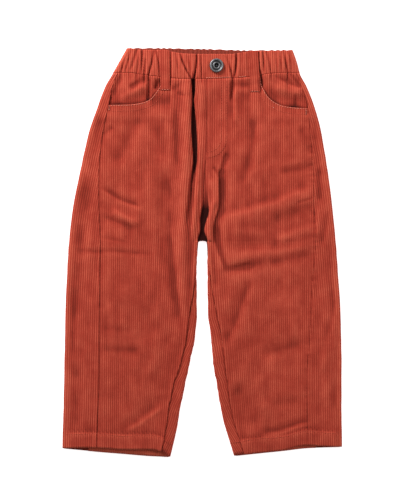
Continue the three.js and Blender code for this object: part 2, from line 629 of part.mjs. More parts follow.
// One half of the band, as its outer points and the plain inside behind them. It turns round the sides
// of the garment and stops half way, just short of the other half.
function bandPiece(name, isFront) {
  const edge = isFront ? frontTop : backTop;
  const seam = isFront ? waistSeam : () => BACK_WAIST;
  const up = isFront ? 1 : -1;
  const wallRadius = BAND_RADIUS - BAND_WALL;
  const outer = [];
  const inner = [];
  for (const part of steps(0, 1, 5)) {
    const crown = isFront ? bandHeight(part) - BAND_RADIUS : BAND_RADIUS;
    const ends = [LEGS.right, LEGS.left].map((leg) => {
      const foot = seam(leg.side * leg.outer(BACK_WAIST)) + SEAM_GAP / 2;
      const y = mix(foot, edge(leg.side * leg.outer(BAND_TOP)), part);
      return { side: leg.side, y, start: leg.outer(y) - BAND_RADIUS };
    });
    const turned = ({ side, y, start }, radius, lift) => BAND_TURNS.map((turn) => {
      const angle = turn * (Math.PI / 2);
      const x = side * (start + radius * Math.sin(angle));
      return new THREE.Vector3(x, y, BAND_RADIUS + up * lift * Math.cos(angle));
    });
    const starts = [-ends[0].start, ends[1].start];
    const places = isFront ? gatherColumns(part, starts) : steps(starts[0], starts[1], 30);
    const yAt = (x) => mix(seam(x) + SEAM_GAP / 2, edge(x), part);
    const flat = (heightAt) => places.map((x) => new THREE.Vector3(x, yAt(x), heightAt(x)));
    const row = (radius, lift, heightAt) => [
      ...turned(ends[0], radius, lift).reverse(),
      ...flat(heightAt),
      ...turned(ends[1], radius, lift),
    ];
    const crownAt = (x) => BAND_RADIUS + up * crown - (isFront ? gatherDip(x, part) : 0);
    outer.push(row(BAND_RADIUS, crown, crownAt));
    inner.push(row(wallRadius, wallRadius, () => BAND_RADIUS + up * wallRadius));
  }
  return wall(name, outer, inner, CORDUROY);
}

// A belt loop is a strip laid over the band and down onto the front panel.
function beltLoop({ name, topLeft, topRight, footLeft, footRight, foot }) {
  const leg = LEGS[name];
  const outer = [];
  const inner = [];
  steps(0, 1, 11).forEach((part) => {
    const upper = [];
    const lower = [];
    steps(0, 1, 3).forEach((over) => {
      const x = mix(mix(footLeft, footRight, over), mix(topLeft, topRight, over), part);
      const y = mix(foot, frontTop(x), part);
      const onBand = ease(y, waistSeam(x) - LOOP_SLOPE, waistSeam(x) + 1);
      const panel = topHeight(leg, Math.abs(x), y);
      const base = mix(panel, bandHeight(0.5), onBand) + SEAM_GAP;
      lower.push(new THREE.Vector3(x, y, base));
      upper.push(new THREE.Vector3(x, y, base + LOOP_CLOTH));
    });
    outer.push(upper);
    inner.push(lower);
  });
  return wall(`${name}_belt_loop`, outer, inner, CORDUROY);
}

// The button's half section, turned round its axis.
function buttonMesh() {
  const { x, y, radius, height } = BUTTON;
  const section = BUTTON_SECTION.map(({ part, level }) => new THREE.Vector2(part * radius, level * height));
  const geometry = new THREE.LatheGeometry(section, 24);
  const mesh = new THREE.Mesh(geometry, new THREE.MeshStandardMaterial(GUNMETAL));
  mesh.name = 'button';
  mesh.rotation.x = Math.PI / 2;
  mesh.position.set(x, y, bandHeight(0.5) + SEAM_GAP);
  return mesh;
}

const group = new THREE.Group();
for (const leg of Object.values(LEGS)) {
  group.add(frontPanel(leg), sidePanel(leg), backPanel(leg), pocketFacing(leg));
}
group.add(bandPiece('waistband_front', true), bandPiece('waistband_back', false));
BELT_LOOPS.forEach((loop) => group.add(beltLoop(loop)));
group.add(buttonMesh());

export default group;
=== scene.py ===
"""A child's corduroy trousers laid flat on a pale floor, seen from straight above.

Sizes are worked out in millimetres and scaled to metres where a mesh is made. x runs across the
garment, y up it to the waist, z up from the floor, and the wearer's right leg is at negative x.
Each cloth piece is one closed wall: an outer face with the corduroy's ribs as real ridges, a plain
inside, and a rim. A leg's own distances run outwards from the centre line, so both legs use one rule.
"""

import bpy
import numpy as np
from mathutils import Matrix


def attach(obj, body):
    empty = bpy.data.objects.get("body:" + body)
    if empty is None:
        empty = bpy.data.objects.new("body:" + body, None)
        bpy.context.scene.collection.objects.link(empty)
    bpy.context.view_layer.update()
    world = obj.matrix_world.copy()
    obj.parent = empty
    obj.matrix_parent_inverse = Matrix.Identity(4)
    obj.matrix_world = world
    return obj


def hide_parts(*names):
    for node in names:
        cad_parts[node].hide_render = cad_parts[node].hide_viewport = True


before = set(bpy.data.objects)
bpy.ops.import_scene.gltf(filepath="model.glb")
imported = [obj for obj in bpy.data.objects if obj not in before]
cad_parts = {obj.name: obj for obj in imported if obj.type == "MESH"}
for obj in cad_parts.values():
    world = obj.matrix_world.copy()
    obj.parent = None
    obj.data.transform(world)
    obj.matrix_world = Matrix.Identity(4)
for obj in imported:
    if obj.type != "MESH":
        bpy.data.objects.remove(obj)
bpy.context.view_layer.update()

MM = 0.001

# Cloth, seams and hems.
CLOTH = 1.2
HEM_CLOTH = 2.4
HEM_DEPTH = 17.5
HEM_RISE = 1.1
HEM_LEVEL = -227.0
SEAM_GAP = 0.06
INSEAM_GAP = 0.1
SEAM_RIDGE = 0.3
SEAM_ROUND = 1.1
SEAM_SINK = 0.22
SEAM_REACH = 4

# The legs: their folded edges and the height of the cloth between them.
FOLD_RADIUS = 2.9
FOLD_LENGTH = np.pi * FOLD_RADIUS
PANEL_HEIGHT = 5.9
EDGE_RISE = 2 * FOLD_RADIUS - PANEL_HEIGHT
EDGE_REACH = 7
LOWEST_FRONT = 2.9
CROTCH = 14.4
LEG_LENGTH = 260
RISE_LENGTH = 200
BACK_SEAM_INSET = 30

# The waist: the band, and how the panels rise to meet it.
BACK_WAIST = 224.3
BAND_RADIUS = 4.1
BAND_WALL = 3
BAND_CROWN = 1
BAND_TOP = 252.0
BAND_MEETING = 8
BAND_STEP = 0.3
GATHER_LIMIT = -2.15
GATHERED_RIBS = 1.18
WAIST_RISE = 1.7
WAIST_REACH = 24

# Pocket mouths, mock fly, belt loops and button.
POCKET_DROP = 1.95
POCKET_LOFT = 0.9
POCKET_UNDERLAP = 6
FACING_FOOT = 175
FLY_WIDTH = 24.5
FLY_FOOT = 119
FLY_TOP = 215
FLY_EDGE = 5.6
FLY_RISE = 0.35
FLY_SLOPE = 1.2
LOOP_CLOTH = 0.55
LOOP_RIBS = 4.4
BUTTON_X, BUTTON_Y = 17.6, 233.3
BUTTON_SIDES = 72

# Ribs, and the spacing of the points across them and along them.
RIB_PITCH = 2.75
RIB_DEPTH = 0.25
RIB_STEPS = 4
RIB_STEP = RIB_PITCH / RIB_STEPS
ROW_STEP = 2.5
BACK_ROW_STEP = 5
ROWS_DOWN, ROWS_UP = 262, 207
SETTLING_ROUNDS = 20

# Stitches, and the painted light that lifts the ribs of the turned hem's inside out of shadow.
STITCH_LENGTH, STITCH_GAP = 2.6, 0.6
PALE_RADIUS, MATCHING_RADIUS, TACK_RADIUS = 0.38, 0.32, 0.34
HEM_INSIDE_PAINTED_LIGHT = -1.6


def table(names, rows):
    """Columns of a table by name, as arrays."""
    return {name: np.array(column, float) for name, column in zip(names.split(), zip(*rows))}


OUTER_FOLD = table("y right left", [
    (-262, 175.8, 175.2), (-242, 175.6, 175), (-197, 174.4, 174.4), (-137, 173.1, 174.4),
    (-77, 171.9, 173.1), (-17, 169.4, 169.4), (43, 164.4, 164.4), (103, 153.1, 156.9),
    (148, 143.1, 149.4), (178, 133.1, 141.9), (208, 121.9, 130.6), (223, 113.1, 122.4),
    (238, 104.4, 118.1), (258, 93.4, 111.2),
])
INNER_FOLD = table("y right left", [
    (-262, 41.5, 41.5), (-242, 36.9, 35.6), (-227, 33.1, 30.6), (-197, 28.1, 23.1),
    (-167, 21.9, 18.1), (-137, 15.6, 13.1), (-107, 9.4, 10.6), (-77, 6.9, 6.9),
    (-17, 6.9, 5.6), (4, 5.6, 5.4), (10, 5.2, 5.2), (12.8, 4.9, 4.9), (13.7, 4.1, 4.1),
    (14.2, 2.4, 2.4), (CROTCH, 0.2, 0.2),
])
SIDE_SEAM = table("y right left", [
    (-262, 133, 130.4), (-212, 131.6, 131), (-161, 129.6, 130.2), (-97, 129.4, 134.9),
    (-46, 128.9, 136.9), (15, 128.1, 141.3), (66, 130, 139.3), (101, 129.6, 138.8),
    (149, 124.9, 134.8), (184, 117.5, 131.5), (206, 112.8, 124.5), (230, 103.4, 114.6),
])
INSEAM = table("y right left", [
    (-262, 10, 10.5), (-244, 10.4, 10.8), (-199, 11.6, 10.1), (-166, 11.9, 10.6),
    (-139, 8.6, 11.7), (-84, 7.6, 9.3), (-59, 3.3, 5.2), (-38, 0.2, 2.3), (-18, -3, -0.4),
    (0, -4.1, -3.4), (CROTCH, -4.25, -4.25),
])
CENTRE_FRONT = table("y x", [
    (CROTCH, 0), (45, 0.9), (75, 1.9), (112, 3.9), (FLY_FOOT, FLY_EDGE), (230, FLY_EDGE),
])
HEM = table("out right_top right_under left_top left_under", [
    (36, -257, -257.2, -254.6, -255), (42, -255.3, -256.3, -254, -254.6),
    (52, -248.6, -255.6, -252.4, -253.6), (65, -246.3, -255, -251, -252.2),
    (100, -246.3, -252.2, -247.2, -248.6), (132, -244.2, -249.6, -240.7, -245),
    (148, -243.9, -248, -241.8, -244.4), (178, -245, -245.2, -243.2, -243.6),
])
WAIST = table("x seam front back", [
    (-118, 224.4, 255.8, 256), (-92, 224.4, 255.4, 256), (-78, 222.5, 253.4, 256),
    (-53, 219.3, 253, 256), (-24, 216.9, 248.8, 255.4), (0, 216.9, 248, 255),
    (34, 217.6, 248, 253.9), (53, 218.8, 250.3, 253.2), (72, 221.6, 251.9, 253.3),
    (97, 224.3, 252.2, 253.5), (124, 224.2, 253.6, 253.9),
])
POCKET_MOUTH = {
    "right": table("out y", [
        (47, 218.5), (50, 213), (55.3, 204.4), (59.8, 198.1), (66, 191.4), (74, 187.6),
        (84.4, 185.6), (96, 184.7), (120, 184.4),
    ]),
    "left": table("out y", [
        (72, 221.6), (74, 210), (76.5, 204), (82.5, 194.4), (91.5, 187.3), (100.4, 183.6),
        (112.4, 181.6), (134, 180),
    ]),
}

# Folds and creases of the fronts. Each runs from (x0, y0) to (x1, y1), bowed sideways, and rises or,
# where negative, sinks. Left and right are its half widths on the two sides of a fold that runs down
# the picture, and below and above one that runs across it.
FOLDS = table("x0 y0 x1 y1 bow left right rise", [
    # Beside the front seam and the fly.
    (-9.5, 112, -18.1, 34, -1, 2.8, 3.4, -2.6),
    (-16.6, 222, -17.6, 106, -1.2, 8, 3.6, 2.2),
    (-20, 130, -26.2, -99, -2.5, 8, 6.6, 2.4),
    (-2.5, 228, -2.5, 113, 0.8, 3.4, 6, 1),
    (-3, 132, -12.5, 14, 0.6, 3.2, 4, 2.6),
    (9.6, 92, 15, 54, 1, 3.2, 4, 1.3),
    (15, 66, 8.6, 10, -2, 3, 3.6, 2),
    (13, 108, 21, 94, 0, 1.8, 2.6, -1.2),
    (31, 127, 23, 98, 0, 3, 4.4, -1.8),
    (14, 32, 29.6, -21, -1.2, 2.6, 6, -2.4),
    # Below the band, in the pocket mouths and round the belt loops.
    (37.2, 232, 36, 190, 0, 1.8, 2.6, -3.6),
    (40.2, 206, 42.5, 160, 0, 3, 4.2, 1.8),
    (37, 214, 59, 212.5, 0, 4.2, 3.4, -1.2),
    (40, 204, 60, 203, 0, 3.4, 3.4, 0.8),
    (71, 232, 73.5, 201, 0, 1.9, 2.4, -3.4),
    (-101.9, 228, -112, 195, 0.6, 2.6, 3.2, -1.7),
    (-62, 224, -92, 204.5, 0, 4, 5, -2.4),
    (-70, 207, -106, 191, 0, 5, 5.6, 1.5),
    (-65.4, 218, -68, 190, 0, 2.4, 1.6, -3),
    (-55.4, 224, -58.8, 203, 0, 1.8, 2, -3),
    (-66, 189, -38, 190, 0, 8, 8, -2),
    (105.6, 230, 121, 207, 0, 2.4, 3.2, -2.8),
    (84, 226, 127, 205.5, -2.8, 2.6, 4.4, -2.2),
    (88, 206, 125, 196, 0, 5.6, 5.6, 1.5),
    (116.6, 198, 115.6, 182, 0, 2.4, 2.4, -0.8),
    (-23, 218, -39, 202, 0, 2.8, 3.6, -1.3),
    (-32, 200, -15, 193.5, 0, 2.4, 2.4, -0.9),
    # The right leg, from the hip to the hem.
    (-45, 100, -46, -22, 0, 10, 8, -3.4),
    (-47, 30, -27.5, -94, 0, 10, 6, -2.7),
    (-76, 184, -113, 111, 3.8, 10, 10, -2.2),
    (-35.6, 186, -33.1, 104, 0, 6, 5, -1.4),
    (-64, 162, -42, 116, 0, 9, 9, -0.8),
    (-110.6, 157, -125.6, 146, 0, 3.4, 3.4, -0.8),
    (-126, 81, -76, 56, -1.4, 2.4, 4.8, -1.2),
    (-114, 56, -78, 34, -2.5, 5, 5, 1.5),
    (-128, 46, -84, 27, 3, 6, 4, -0.9),
    (-128, 20, -94, 10, 1.2, 2.8, 2.8, -0.5),
    (-156, 4, -62, -2, 0, 3.4, 3, -0.7),
    (-130, -121, -74, -120, 0, 6, 5, -0.8),
    (-126, -94, -84, -96, 0, 4, 4, -0.4),
    (-56, -94, -63, -157, 0, 7.5, 7.5, 1),
    (-90, -150, -84, -212, 0, 9, 9, 0.8),
    (-118, -60, -112, -130, 2, 6, 6, 0.8),
    (-98, -226, -48, -192, 0, 3, 3, 0.7),
    (-94, -216, -46, -178, 0, 6.6, 6.6, -0.9),
    (-156, -138, -159, -224, 0, 8, 8, -1.3),
    # The left leg, from the hip to the hem.
    (66, 176, 46, 80, 4, 8, 7, -1.8),
    (106, 176, 99, 120, 0, 7, 7, 0.8),
    (122, 160, 135, 124, 0, 5, 6, -1.2),
    (96, 101, 142, 112, 0, 7, 6, -1.3),
    (47, 100, 138, 115, 0, 12, 12, 0.8),
    (20, 38, 144, 80, -1.5, 18, 7, 2.8),
    (116, 61, 139, 69.5, 0, 1.8, 2, -0.6),
    (84, 42, 142, 60, 0, 10, 8, -1.3),
    (34, 28, 84, 25, 0, 6, 7, 0.8),
    (92, 15, 142, 33, 0, 8, 7, 1.6),
    (30, 9, 124, 12, -1, 6, 6, -0.7),
    (22, -10, 142, 11, -2, 9, 11, 1.2),
    (22, -21, 144, 0, 0.6, 9, 6, -1.2),
    (24, -20, 66, -15, 0, 6, 4, -1.2),
    (58, -30, 26, -116, 2, 10, 7, -2),
    (72, -126, 136, -109, 0, 8, 7, -0.8),
    (86, -190, 131, -184, 0, 7, 7, -0.7),
    (72, -224, 136, -209, -0.8, 4, 5, -0.9),
    (74, -230, 134, -214, -0.8, 2.2, 2.6, 0.7),
    (42, -164, 66, -222, 0, 12, 10, -1.5),
    (70, -150, 76, -200, 0, 9, 9, 0.7),
    (110, -60, 114, -110, 0, 7, 7, 0.6),
    # Beside the left side seam, then along both outer edges.
    (145.6, 106, 146.4, 64, 0, 5, 4, -1.1),
    (159.4, 56, 148.1, 8, 0, 4.4, 4.4, -0.9),
    (144.4, 58, 144.4, 21, 0, 3.1, 3.1, 0.9),
    (168, -58, 153, -112, 0, 4.4, 4.4, -0.7),
    (-139, 94, -156, -8, -2, 10, 8, -1.3),
    (-151, 42, -159.5, -90, 0, 10, 8, -1.3),
    (-160, -60, -162, -130, 0, 5, 5, -0.7),
    (153, -120, 156, -200, -1, 5, 5, 0.6),
])

# Deep valleys between folds: beside the fly, between the legs and on the left thigh. The rows run from
# foot to top with y, the middle line, the half width and the strength there. The sides slope out over
# left and right, and shade says how much painted shade the cloth gets where it closes in.
VALLEYS = [
    {"left": 1.3, "right": 2.2, "depth": 8, "shade": 1.9, "foot_fade": 30, "rows": [
        (84, -14.6, 0.5, 0.22), (96.9, -12.6, 0.9, 0.4), (105.6, -10.6, 1.3, 0.7), (115.6, -9.4, 1.6, 0.95),
        (128.1, -9.5, 2, 1), (140.6, -10.3, 2.2, 1), (153.1, -10.9, 2.3, 1), (165.6, -11.6, 2, 1),
        (175.6, -11.9, 1.3, 1), (184.4, -12, 0.6, 0.8), (191.9, -12.1, 0.3, 0.55), (197, -11.6, 0.6, 0.75),
        (203.1, -11.5, 1.2, 1), (215.6, -11.7, 1.2, 1), (223, -12.2, 0.7, 0.9), (229, -12.4, 0.3, 0.6),
    ]},
    {"left": 2, "right": 2, "depth": 8, "shade": 2.2, "foot_fade": 1, "rows": [
        (-300, 0.3, 5.2, 1), (14.6, 0.3, 5.2, 1), (18, 0.1, 4.4, 1), (21.9, -0.3, 3, 1),
        (28.1, -0.3, 1.2, 1), (33, 0.1, 1.6, 1), (40.6, 1, 2.8, 1), (46.9, 2.4, 3.6, 1),
        (53.1, 3.5, 3.6, 0.72), (56.9, 3.7, 3.2, 0.45), (60.6, 3.7, 2.8, 0.28), (66, 3.6, 2.4, 0.18),
        (75, 3.4, 2.2, 0.12), (88, 3.2, 2, 0.06), (104, 3, 1.6, 0.03),
    ]},
    {"left": 1.6, "right": 13, "depth": 3.1, "shade": 0.45, "foot_fade": 14, "rows": [
        (18, 14.4, 0.4, 0.45), (25.6, 14.4, 0.5, 0.6), (31.9, 14.8, 0.6, 0.7), (38.1, 15.8, 0.6, 0.7),
        (44.4, 17.8, 0.7, 0.7), (51.9, 20.4, 0.8, 0.7), (59.4, 21.8, 0.9, 0.8), (68.1, 22.4, 1.1, 0.95),
        (78.1, 22.3, 1.2, 1), (86.9, 21.9, 1, 1), (95.6, 21.6, 0.7, 0.8), (106, 21.4, 0.4, 0.4),
    ]},
]

# Gathers of the front band: where each lies at its top, middle and foot, its half width, and how deep
# it dips at those three heights.
GATHERS = table("top middle foot half dip_top dip_middle dip_foot", [
    (-95.6, -98, -102.3, 1.5, 0.8, 1.1, 1.2), (-89, -92.5, -97, 1, 0.2, 0.7, 0.3),
    (-82, -86, -91, 1.9, 1.4, 0.9, 0.2), (-79.4, -80.2, -82, 1, 0.2, 1.1, 0.9),
    (-75.2, -75.5, -76, 1.2, 2, 2, 0.2), (-70, -71.6, -73, 1.3, 0.1, 0.6, 1.7),
    (-60.5, -63.5, -67.6, 1.3, 0.7, 1.6, 2.1), (-58.4, -54.6, -52.8, 1.2, 1.4, 1.3, 0.9),
    (-40.2, -40.2, -40.2, 1.1, 0.7, 1.3, 1.5), (-33.5, -31.4, -31, 1, 0.9, 0.5, 0.1),
    (-28.2, -22.4, -13.6, 1.1, 1.4, 2.3, 3), (-17, -16.2, -15, 1, 0.1, 0.8, 0.3),
    (-7.4, -7.9, -10.6, 1.1, 2.4, 2.9, 3), (-2, -1.4, -0.8, 0.9, 0.7, 0.9, 0.4),
    (4.4, 4.4, 4.4, 0.8, 0.2, 0.3, 0.5), (29, 34, 37.6, 1.2, 0.1, 1.3, 2.8),
    (42, 41.8, 38.9, 1.3, 2.3, 2.2, 1.8), (49, 49.5, 50, 1, 0.5, 0.3, 0.5),
    (56.6, 57.4, 58.8, 1, 0.5, 0.5, 0.5), (69.8, 70, 73, 1.3, 1.5, 2.1, 2.9),
    (75.5, 76.4, 77.6, 1, 1.6, 1.2, 0.1), (80, 83.4, 85.8, 1.2, 1, 0.9, 0.9),
    (91, 92.4, 94, 1.3, 0.5, 0.3, 0.1), (97, 98, 100, 1, 0.3, 0.5, 0.3),
    (101.5, 104, 106.6, 1.3, 1.1, 1.4, 2.1), (106, 110.4, 110.8, 1.1, 0.9, 0.9, 1),
])

# Belt loops: x of the left and right edges at the top and at the foot, and y of the foot.
LOOPS = table("top_left top_right foot_left foot_right foot", [
    (-52.8, -40.8, -52.4, -40.4, 202.7), (57.6, 69.4, 59.8, 72.4, 200.6),
])

# Bar tacks at the outer ends of the pocket mouths: the middle, the length and the turn in radians.
TACKS = table("x y length angle", [(-116.4, 180.6, 5.2, 1.6), (129.4, 175.2, 5.2, 1.5)])

# Section of the button from its axis below, round the rim and the ring, to its axis on top: the
# distance from the axis, the height and the painted shade, dark in the grooves, round the middle and
# down the outer side of the rim.
BUTTON_SECTION = [
    (0, 0, 1), (7.5, 0, 1), (8.3, 0.25, 1), (8.7, 0.8, 0.8), (8.75, 1.5, 0.5), (8.6, 2.2, 0.3),
    (8.25, 2.75, 0.1), (7.75, 3.05, 0), (7.2, 3.1, 0), (6.7, 2.9, 0.1), (6.3, 2.45, 0.4), (5.9, 2.05, 0.7),
    (5.4, 1.85, 0.85), (4.9, 1.9, 0.8), (4.5, 2.2, 0.5), (4.1, 2.6, 0.15), (3.7, 2.8, 0), (3.2, 2.75, 0.1),
    (2.8, 2.4, 0.5), (2.5, 1.7, 1), (2.3, 1.1, 1), (1.3, 1.0, 1), (0.9, 1.15, 0.7), (0, 1.2, 0.6),
]

# Where the facings lie in deeper shadow along the pocket mouths: out, half width and how much more.
MOUTH_SHADE = {
    "right": table("out half extra", [(69, 4.5, 1.1), (81, 6, 0.5), (106, 9, 1.2)]),
    "left": table("out half extra", [(84, 9, 0.4), (115, 6.5, 1.5)]),
}


def curve(rows, key, value):
    """A smooth curve through a table's rows with no overshoot: between two rows a cubic whose slope
    at each row is the harmonic mean of the straight slopes beside it, or level at a turn."""
    at, to = rows[key], rows[value]
    slope = np.diff(to) / np.diff(at)
    before = np.concatenate([slope[:1], slope])
    after = np.concatenate([slope, slope[-1:]])
    same_way = before * after > 0
    tangent = np.where(same_way, 2 * before * after / np.where(same_way, before + after, 1), 0)

    def value_at(wanted):
        place = np.clip(wanted, at[0], at[-1])
        i = np.clip(np.searchsorted(at, place) - 1, 0, len(slope) - 1)
        width = at[i + 1] - at[i]
        t = (place - at[i]) / width
        rise = to[i + 1] - to[i]
        start, end = tangent[i] * width, tangent[i + 1] * width
        return to[i] + t * (start + t * (3 * rise - 2 * start - end + t * (start + end - 2 * rise)))

    return value_at


waist_seam = curve(WAIST, "x", "seam")
front_top = curve(WAIST, "x", "front")
back_top = curve(WAIST, "x", "back")
centre_front = curve(CENTRE_FRONT, "y", "x")


def rippled(line, depth, rate, top):
    """A fold's line with small uneven waves along it, two sines of unsteady rates, ending at a height."""

    def value_at(y):
        still = np.clip((top - np.asarray(y)) / 20, 0, 1)
        wave = np.sin(rate * y + 1.9 * np.sin(0.06 * y)) * (0.6 + 0.4 * np.sin(0.043 * y + 2))
        return line(y) + depth * still * (wave + 0.6 * np.sin(0.38 * rate * y + 1))

    return value_at


class Leg:
    """One leg's curves, and the side of the centre line that it lies on."""

    def __init__(self, name, side):
        self.name, self.side = name, side
        self.outer = rippled(curve(OUTER_FOLD, "y", name), 0.14, 0.21, 400)
        self.inner = rippled(curve(INNER_FOLD, "y", name), 0.3, 0.5, 8)
        self.side_seam = curve(SIDE_SEAM, "y", name)
        self.inseam = curve(INSEAM, "y", name)
        self.hem_top = curve(HEM, "out", name + "_top")
        self.hem_under = curve(HEM, "out", name + "_under")
        self.mouth = curve(POCKET_MOUTH[name], "out", "y")
        self.mouth_end = POCKET_MOUTH[name]["out"][0]
        self.mouth_shade = MOUTH_SHADE[name]


LEGS = [Leg("right", -1), Leg("left", 1)]


def ease(value, low, high):
    """0 below low, 1 above high and an S between them: 3 t squared less 2 t cubed."""
    t = np.clip((value - low) / (high - low), 0, 1)
    return t * t * (3 - 2 * t)


def mix(a, b, part):
    """a at part 0, b at part 1 and a straight line between."""
    return a + (b - a) * part


def bell(distance, half):
    """1 at no distance, falling off as the exponential of minus the square of distance by half."""
    return np.exp(-((distance / half) ** 2))


def value_noise(seed, spacing, angle):
    """Smooth seeded unevenness from about -1 to 1: random values on a turned square lattice, joined
    by a fifth-power ease along both of its directions."""
    values = np.random.default_rng(seed).uniform(-1, 1, (96, 96))
    cosine, sine = np.cos(angle) / spacing, np.sin(angle) / spacing

    def value_at(x, y):
        u, v = cosine * x + sine * y + 48, cosine * y - sine * x + 48
        i, j = np.floor(u).astype(int), np.floor(v).astype(int)
        s, t = u - i, v - j
        s = s**3 * (10 - 15 * s + 6 * s * s)
        t = t**3 * (10 - 15 * t + 6 * t * t)
        low = mix(values[i, j], values[i + 1, j], s)
        return mix(low, mix(values[i, j + 1], values[i + 1, j + 1], s), t)

    return value_at


sway_across = value_noise(3, 24, 0.4)
sway_up = value_noise(4, 31, 1.1)
wide_wave = value_noise(5, 27, 0.7)
close_wave = value_noise(6, 11, 0.2)


def fold_heights(x, y):
    """Sum over the folds of rise, times a bell of the distance across, times an ease at both ends.
    The place is first swayed by a smooth noise, so that no fold is straight."""
    x, y = x + 0.8 * sway_across(x, y), y + 1.8 * sway_up(x, y)
    total = np.zeros(np.broadcast(x, y).shape)
    for x0, y0, x1, y1, bow, left, right, rise in zip(*FOLDS.values()):
        along_x, along_y = x1 - x0, y1 - y0
        length = np.hypot(along_x, along_y)
        along = ((x - x0) * along_x + (y - y0) * along_y) / length**2
        inside = np.clip(along, 0, 1)
        across = (along_x * (y - y0) - along_y * (x - x0)) / length - bow * 4 * inside * (1 - inside)
        ends = ease(along, -0.06, 0.2) * (1 - ease(along, 0.8, 1.06))
        total += rise * ends * bell(across, np.where(across < 0, left, right))
    return total


def fly_distance(x, y):
    """How far (x, y) lies inside the J of the mock fly: its width there less the way from the edge."""
    drop = np.clip((FLY_FOOT + FLY_WIDTH - y) / FLY_WIDTH, 0, 1)
    return FLY_WIDTH * np.sqrt(1 - drop * drop) - (x - centre_front(y))


def keep_above(height, lowest):
    """Soft greater of two: lowest, plus softness times the log of 1 plus e to the excess by softness."""
    softness = 0.6
    return lowest + softness * np.logaddexp(0, (height - lowest) / softness)


def doubled(hem, y):
    """1 inside the turned hem and 0 above its stitching."""
    return 1 - ease(y - hem, HEM_DEPTH - 1, HEM_DEPTH + 3)


def gathers_below(x, y):
    """The band's gathers running on into the fronts: each dip at its foot, fading below the seam."""
    below = np.maximum(waist_seam(x) - y, 0)
    dips = GATHERS["dip_foot"] * bell(x[..., None] - GATHERS["foot"], 1.5 * GATHERS["half"])
    return dips.max(-1) * np.exp(-below / 12)


class Valley:
    """A deep valley: curves along y for its middle, its half width and its strength."""

    def __init__(self, left, right, depth, shade, foot_fade, rows):
        self.left, self.right = left, right
        self.depth, self.shade, self.foot_fade = depth, shade, foot_fade
        rows = table("y middle half strength", rows)
        self.middle = curve(rows, "y", "middle")
        self.half = curve(rows, "y", "half")
        self.strength = curve(rows, "y", "strength")
        self.foot, self.top = rows["y"][[0, -1]]

    def part(self, x, y):
        """Its strength along the middle, easing to 0 up both sides and past its foot and its top."""
        aside = x - self.middle(y)
        beside = np.abs(aside) - self.half(y)
        ends = ease(y, self.foot - self.foot_fade, self.foot) * (1 - ease(y, self.top - 6, self.top))
        slope = 1 - ease(beside, -0.5, np.where(aside < 0, self.left, self.right))
        return ends * slope * self.strength(y)


VALLEY_SHAPES = [Valley(**valley) for valley in VALLEYS]


def valley_depth(x, y):
    """How deep the valleys are together: the sum of each one's depth times its part."""
    return sum(valley.depth * valley.part(x, y) for valley in VALLEY_SHAPES)


def valley_shade(x, y):
    """How much painted shade the valleys give together: the sum of each one's shade times its part."""
    return sum(valley.shade * valley.part(x, y) for valley in VALLEY_SHAPES)


def soft_waves(x, y):
    """Low unevenness of cloth that was smoothed by hand: a wide and a close noise, drawn out a little
    along the ribs."""
    return 1.2 * wide_wave(x, 0.7 * y) + 0.4 * close_wave(x, 0.6 * y)


def puckers(leg, out, y):
    """Small waves along a side seam that draws the cloth in, fading out within a few millimetres."""
    drawn = mix(0.05, 0.12, leg.side > 0) * bell(out - leg.side_seam(y), 5)
    return drawn * (1 + close_wave(out, y)) * np.sin(y * 0.72 + 3.1 * np.sin(y / 17))


def hem_ripples(x, from_stitch):
    """Slanting ripples that the hem's stitching draws in: a sine across, in a bell about the stitches."""
    return 0.26 * bell(from_stitch - 1.5, 4.5) * np.sin(1.25 * (x + 0.8 * from_stitch))


def pocket_part(leg, out, y):
    """1 where the facing lies under the front panel, easing to 0 beyond it."""
    return ease(out, leg.mouth_end - 15, leg.mouth_end - 7) * ease(y, FACING_FOOT - 14, FACING_FOOT - 3)


def top_height(leg, out, y, ridge=0.0):
    """Upper face of the cloth on top: a plain height that rises to the folds at the leg's edges, plus
    the folds, the waist's fullness, the mock fly and the hem, kept above what lies beneath."""
    x = leg.side * out
    from_outer = np.maximum(leg.outer(y) - FOLD_RADIUS - out, 0)
    from_inner = np.maximum(out - leg.inner(y) - FOLD_RADIUS, 0)
    below = 1 - ease(y, CROTCH - 2, CROTCH + 8)
    edges = bell(from_outer, EDGE_REACH) + below * bell(from_inner, EDGE_REACH)
    inside = ease(from_outer, 0, EDGE_REACH) * mix(1, ease(from_inner, 0, EDGE_REACH), below)
    pocket = pocket_part(leg, out, y)
    relief = fold_heights(x, y) + WAIST_RISE * bell(np.maximum(waist_seam(x) - y, 0), WAIST_REACH)
    relief = relief + HEM_RISE * doubled(leg.hem_top(out), y) + soft_waves(x, y)
    relief = relief + puckers(leg, out, y) - np.where(y > FACING_FOOT, gathers_below(x, y), 0)
    relief = relief + hem_ripples(x, y - leg.hem_top(out) - HEM_DEPTH)
    if leg.side > 0:
        relief = relief + FLY_RISE * ease(fly_distance(x, y), -FLY_SLOPE, FLY_SLOPE) * (y > FLY_FOOT)
    below_band = np.maximum(waist_seam(x) - y, 0)
    loft = PANEL_HEIGHT + EDGE_RISE * np.minimum(edges, 1) + POCKET_LOFT * pocket * ease(below_band, 2, 20)
    flat_end = ease(leg.outer(y) - BAND_RADIUS - out, 0, 4)
    band_foot = band_height(0) + BAND_STEP + gather_depth(x, 0 * x) * flat_end
    meeting = bell(below_band, BAND_MEETING) * (y > 180)
    height = mix(loft + inside * relief, band_foot, meeting) + ridge - valley_depth(x, y)
    return keep_above(height, LOWEST_FRONT + POCKET_DROP * pocket)


def top_normal(leg, out, y):
    """Direction out of the upper face: minus its two slopes, and 1 upwards, brought to length 1."""
    reach = 0.8
    slope_out = (top_height(leg, out + reach, y) - top_height(leg, out - reach, y)) / (2 * reach)
    slope_up = (top_height(leg, out, y + reach) - top_height(leg, out, y - reach)) / (2 * reach)
    normal = np.stack([-slope_out, -slope_up, np.ones_like(slope_out)], -1)
    return normal / np.linalg.norm(normal, axis=-1, keepdims=True)


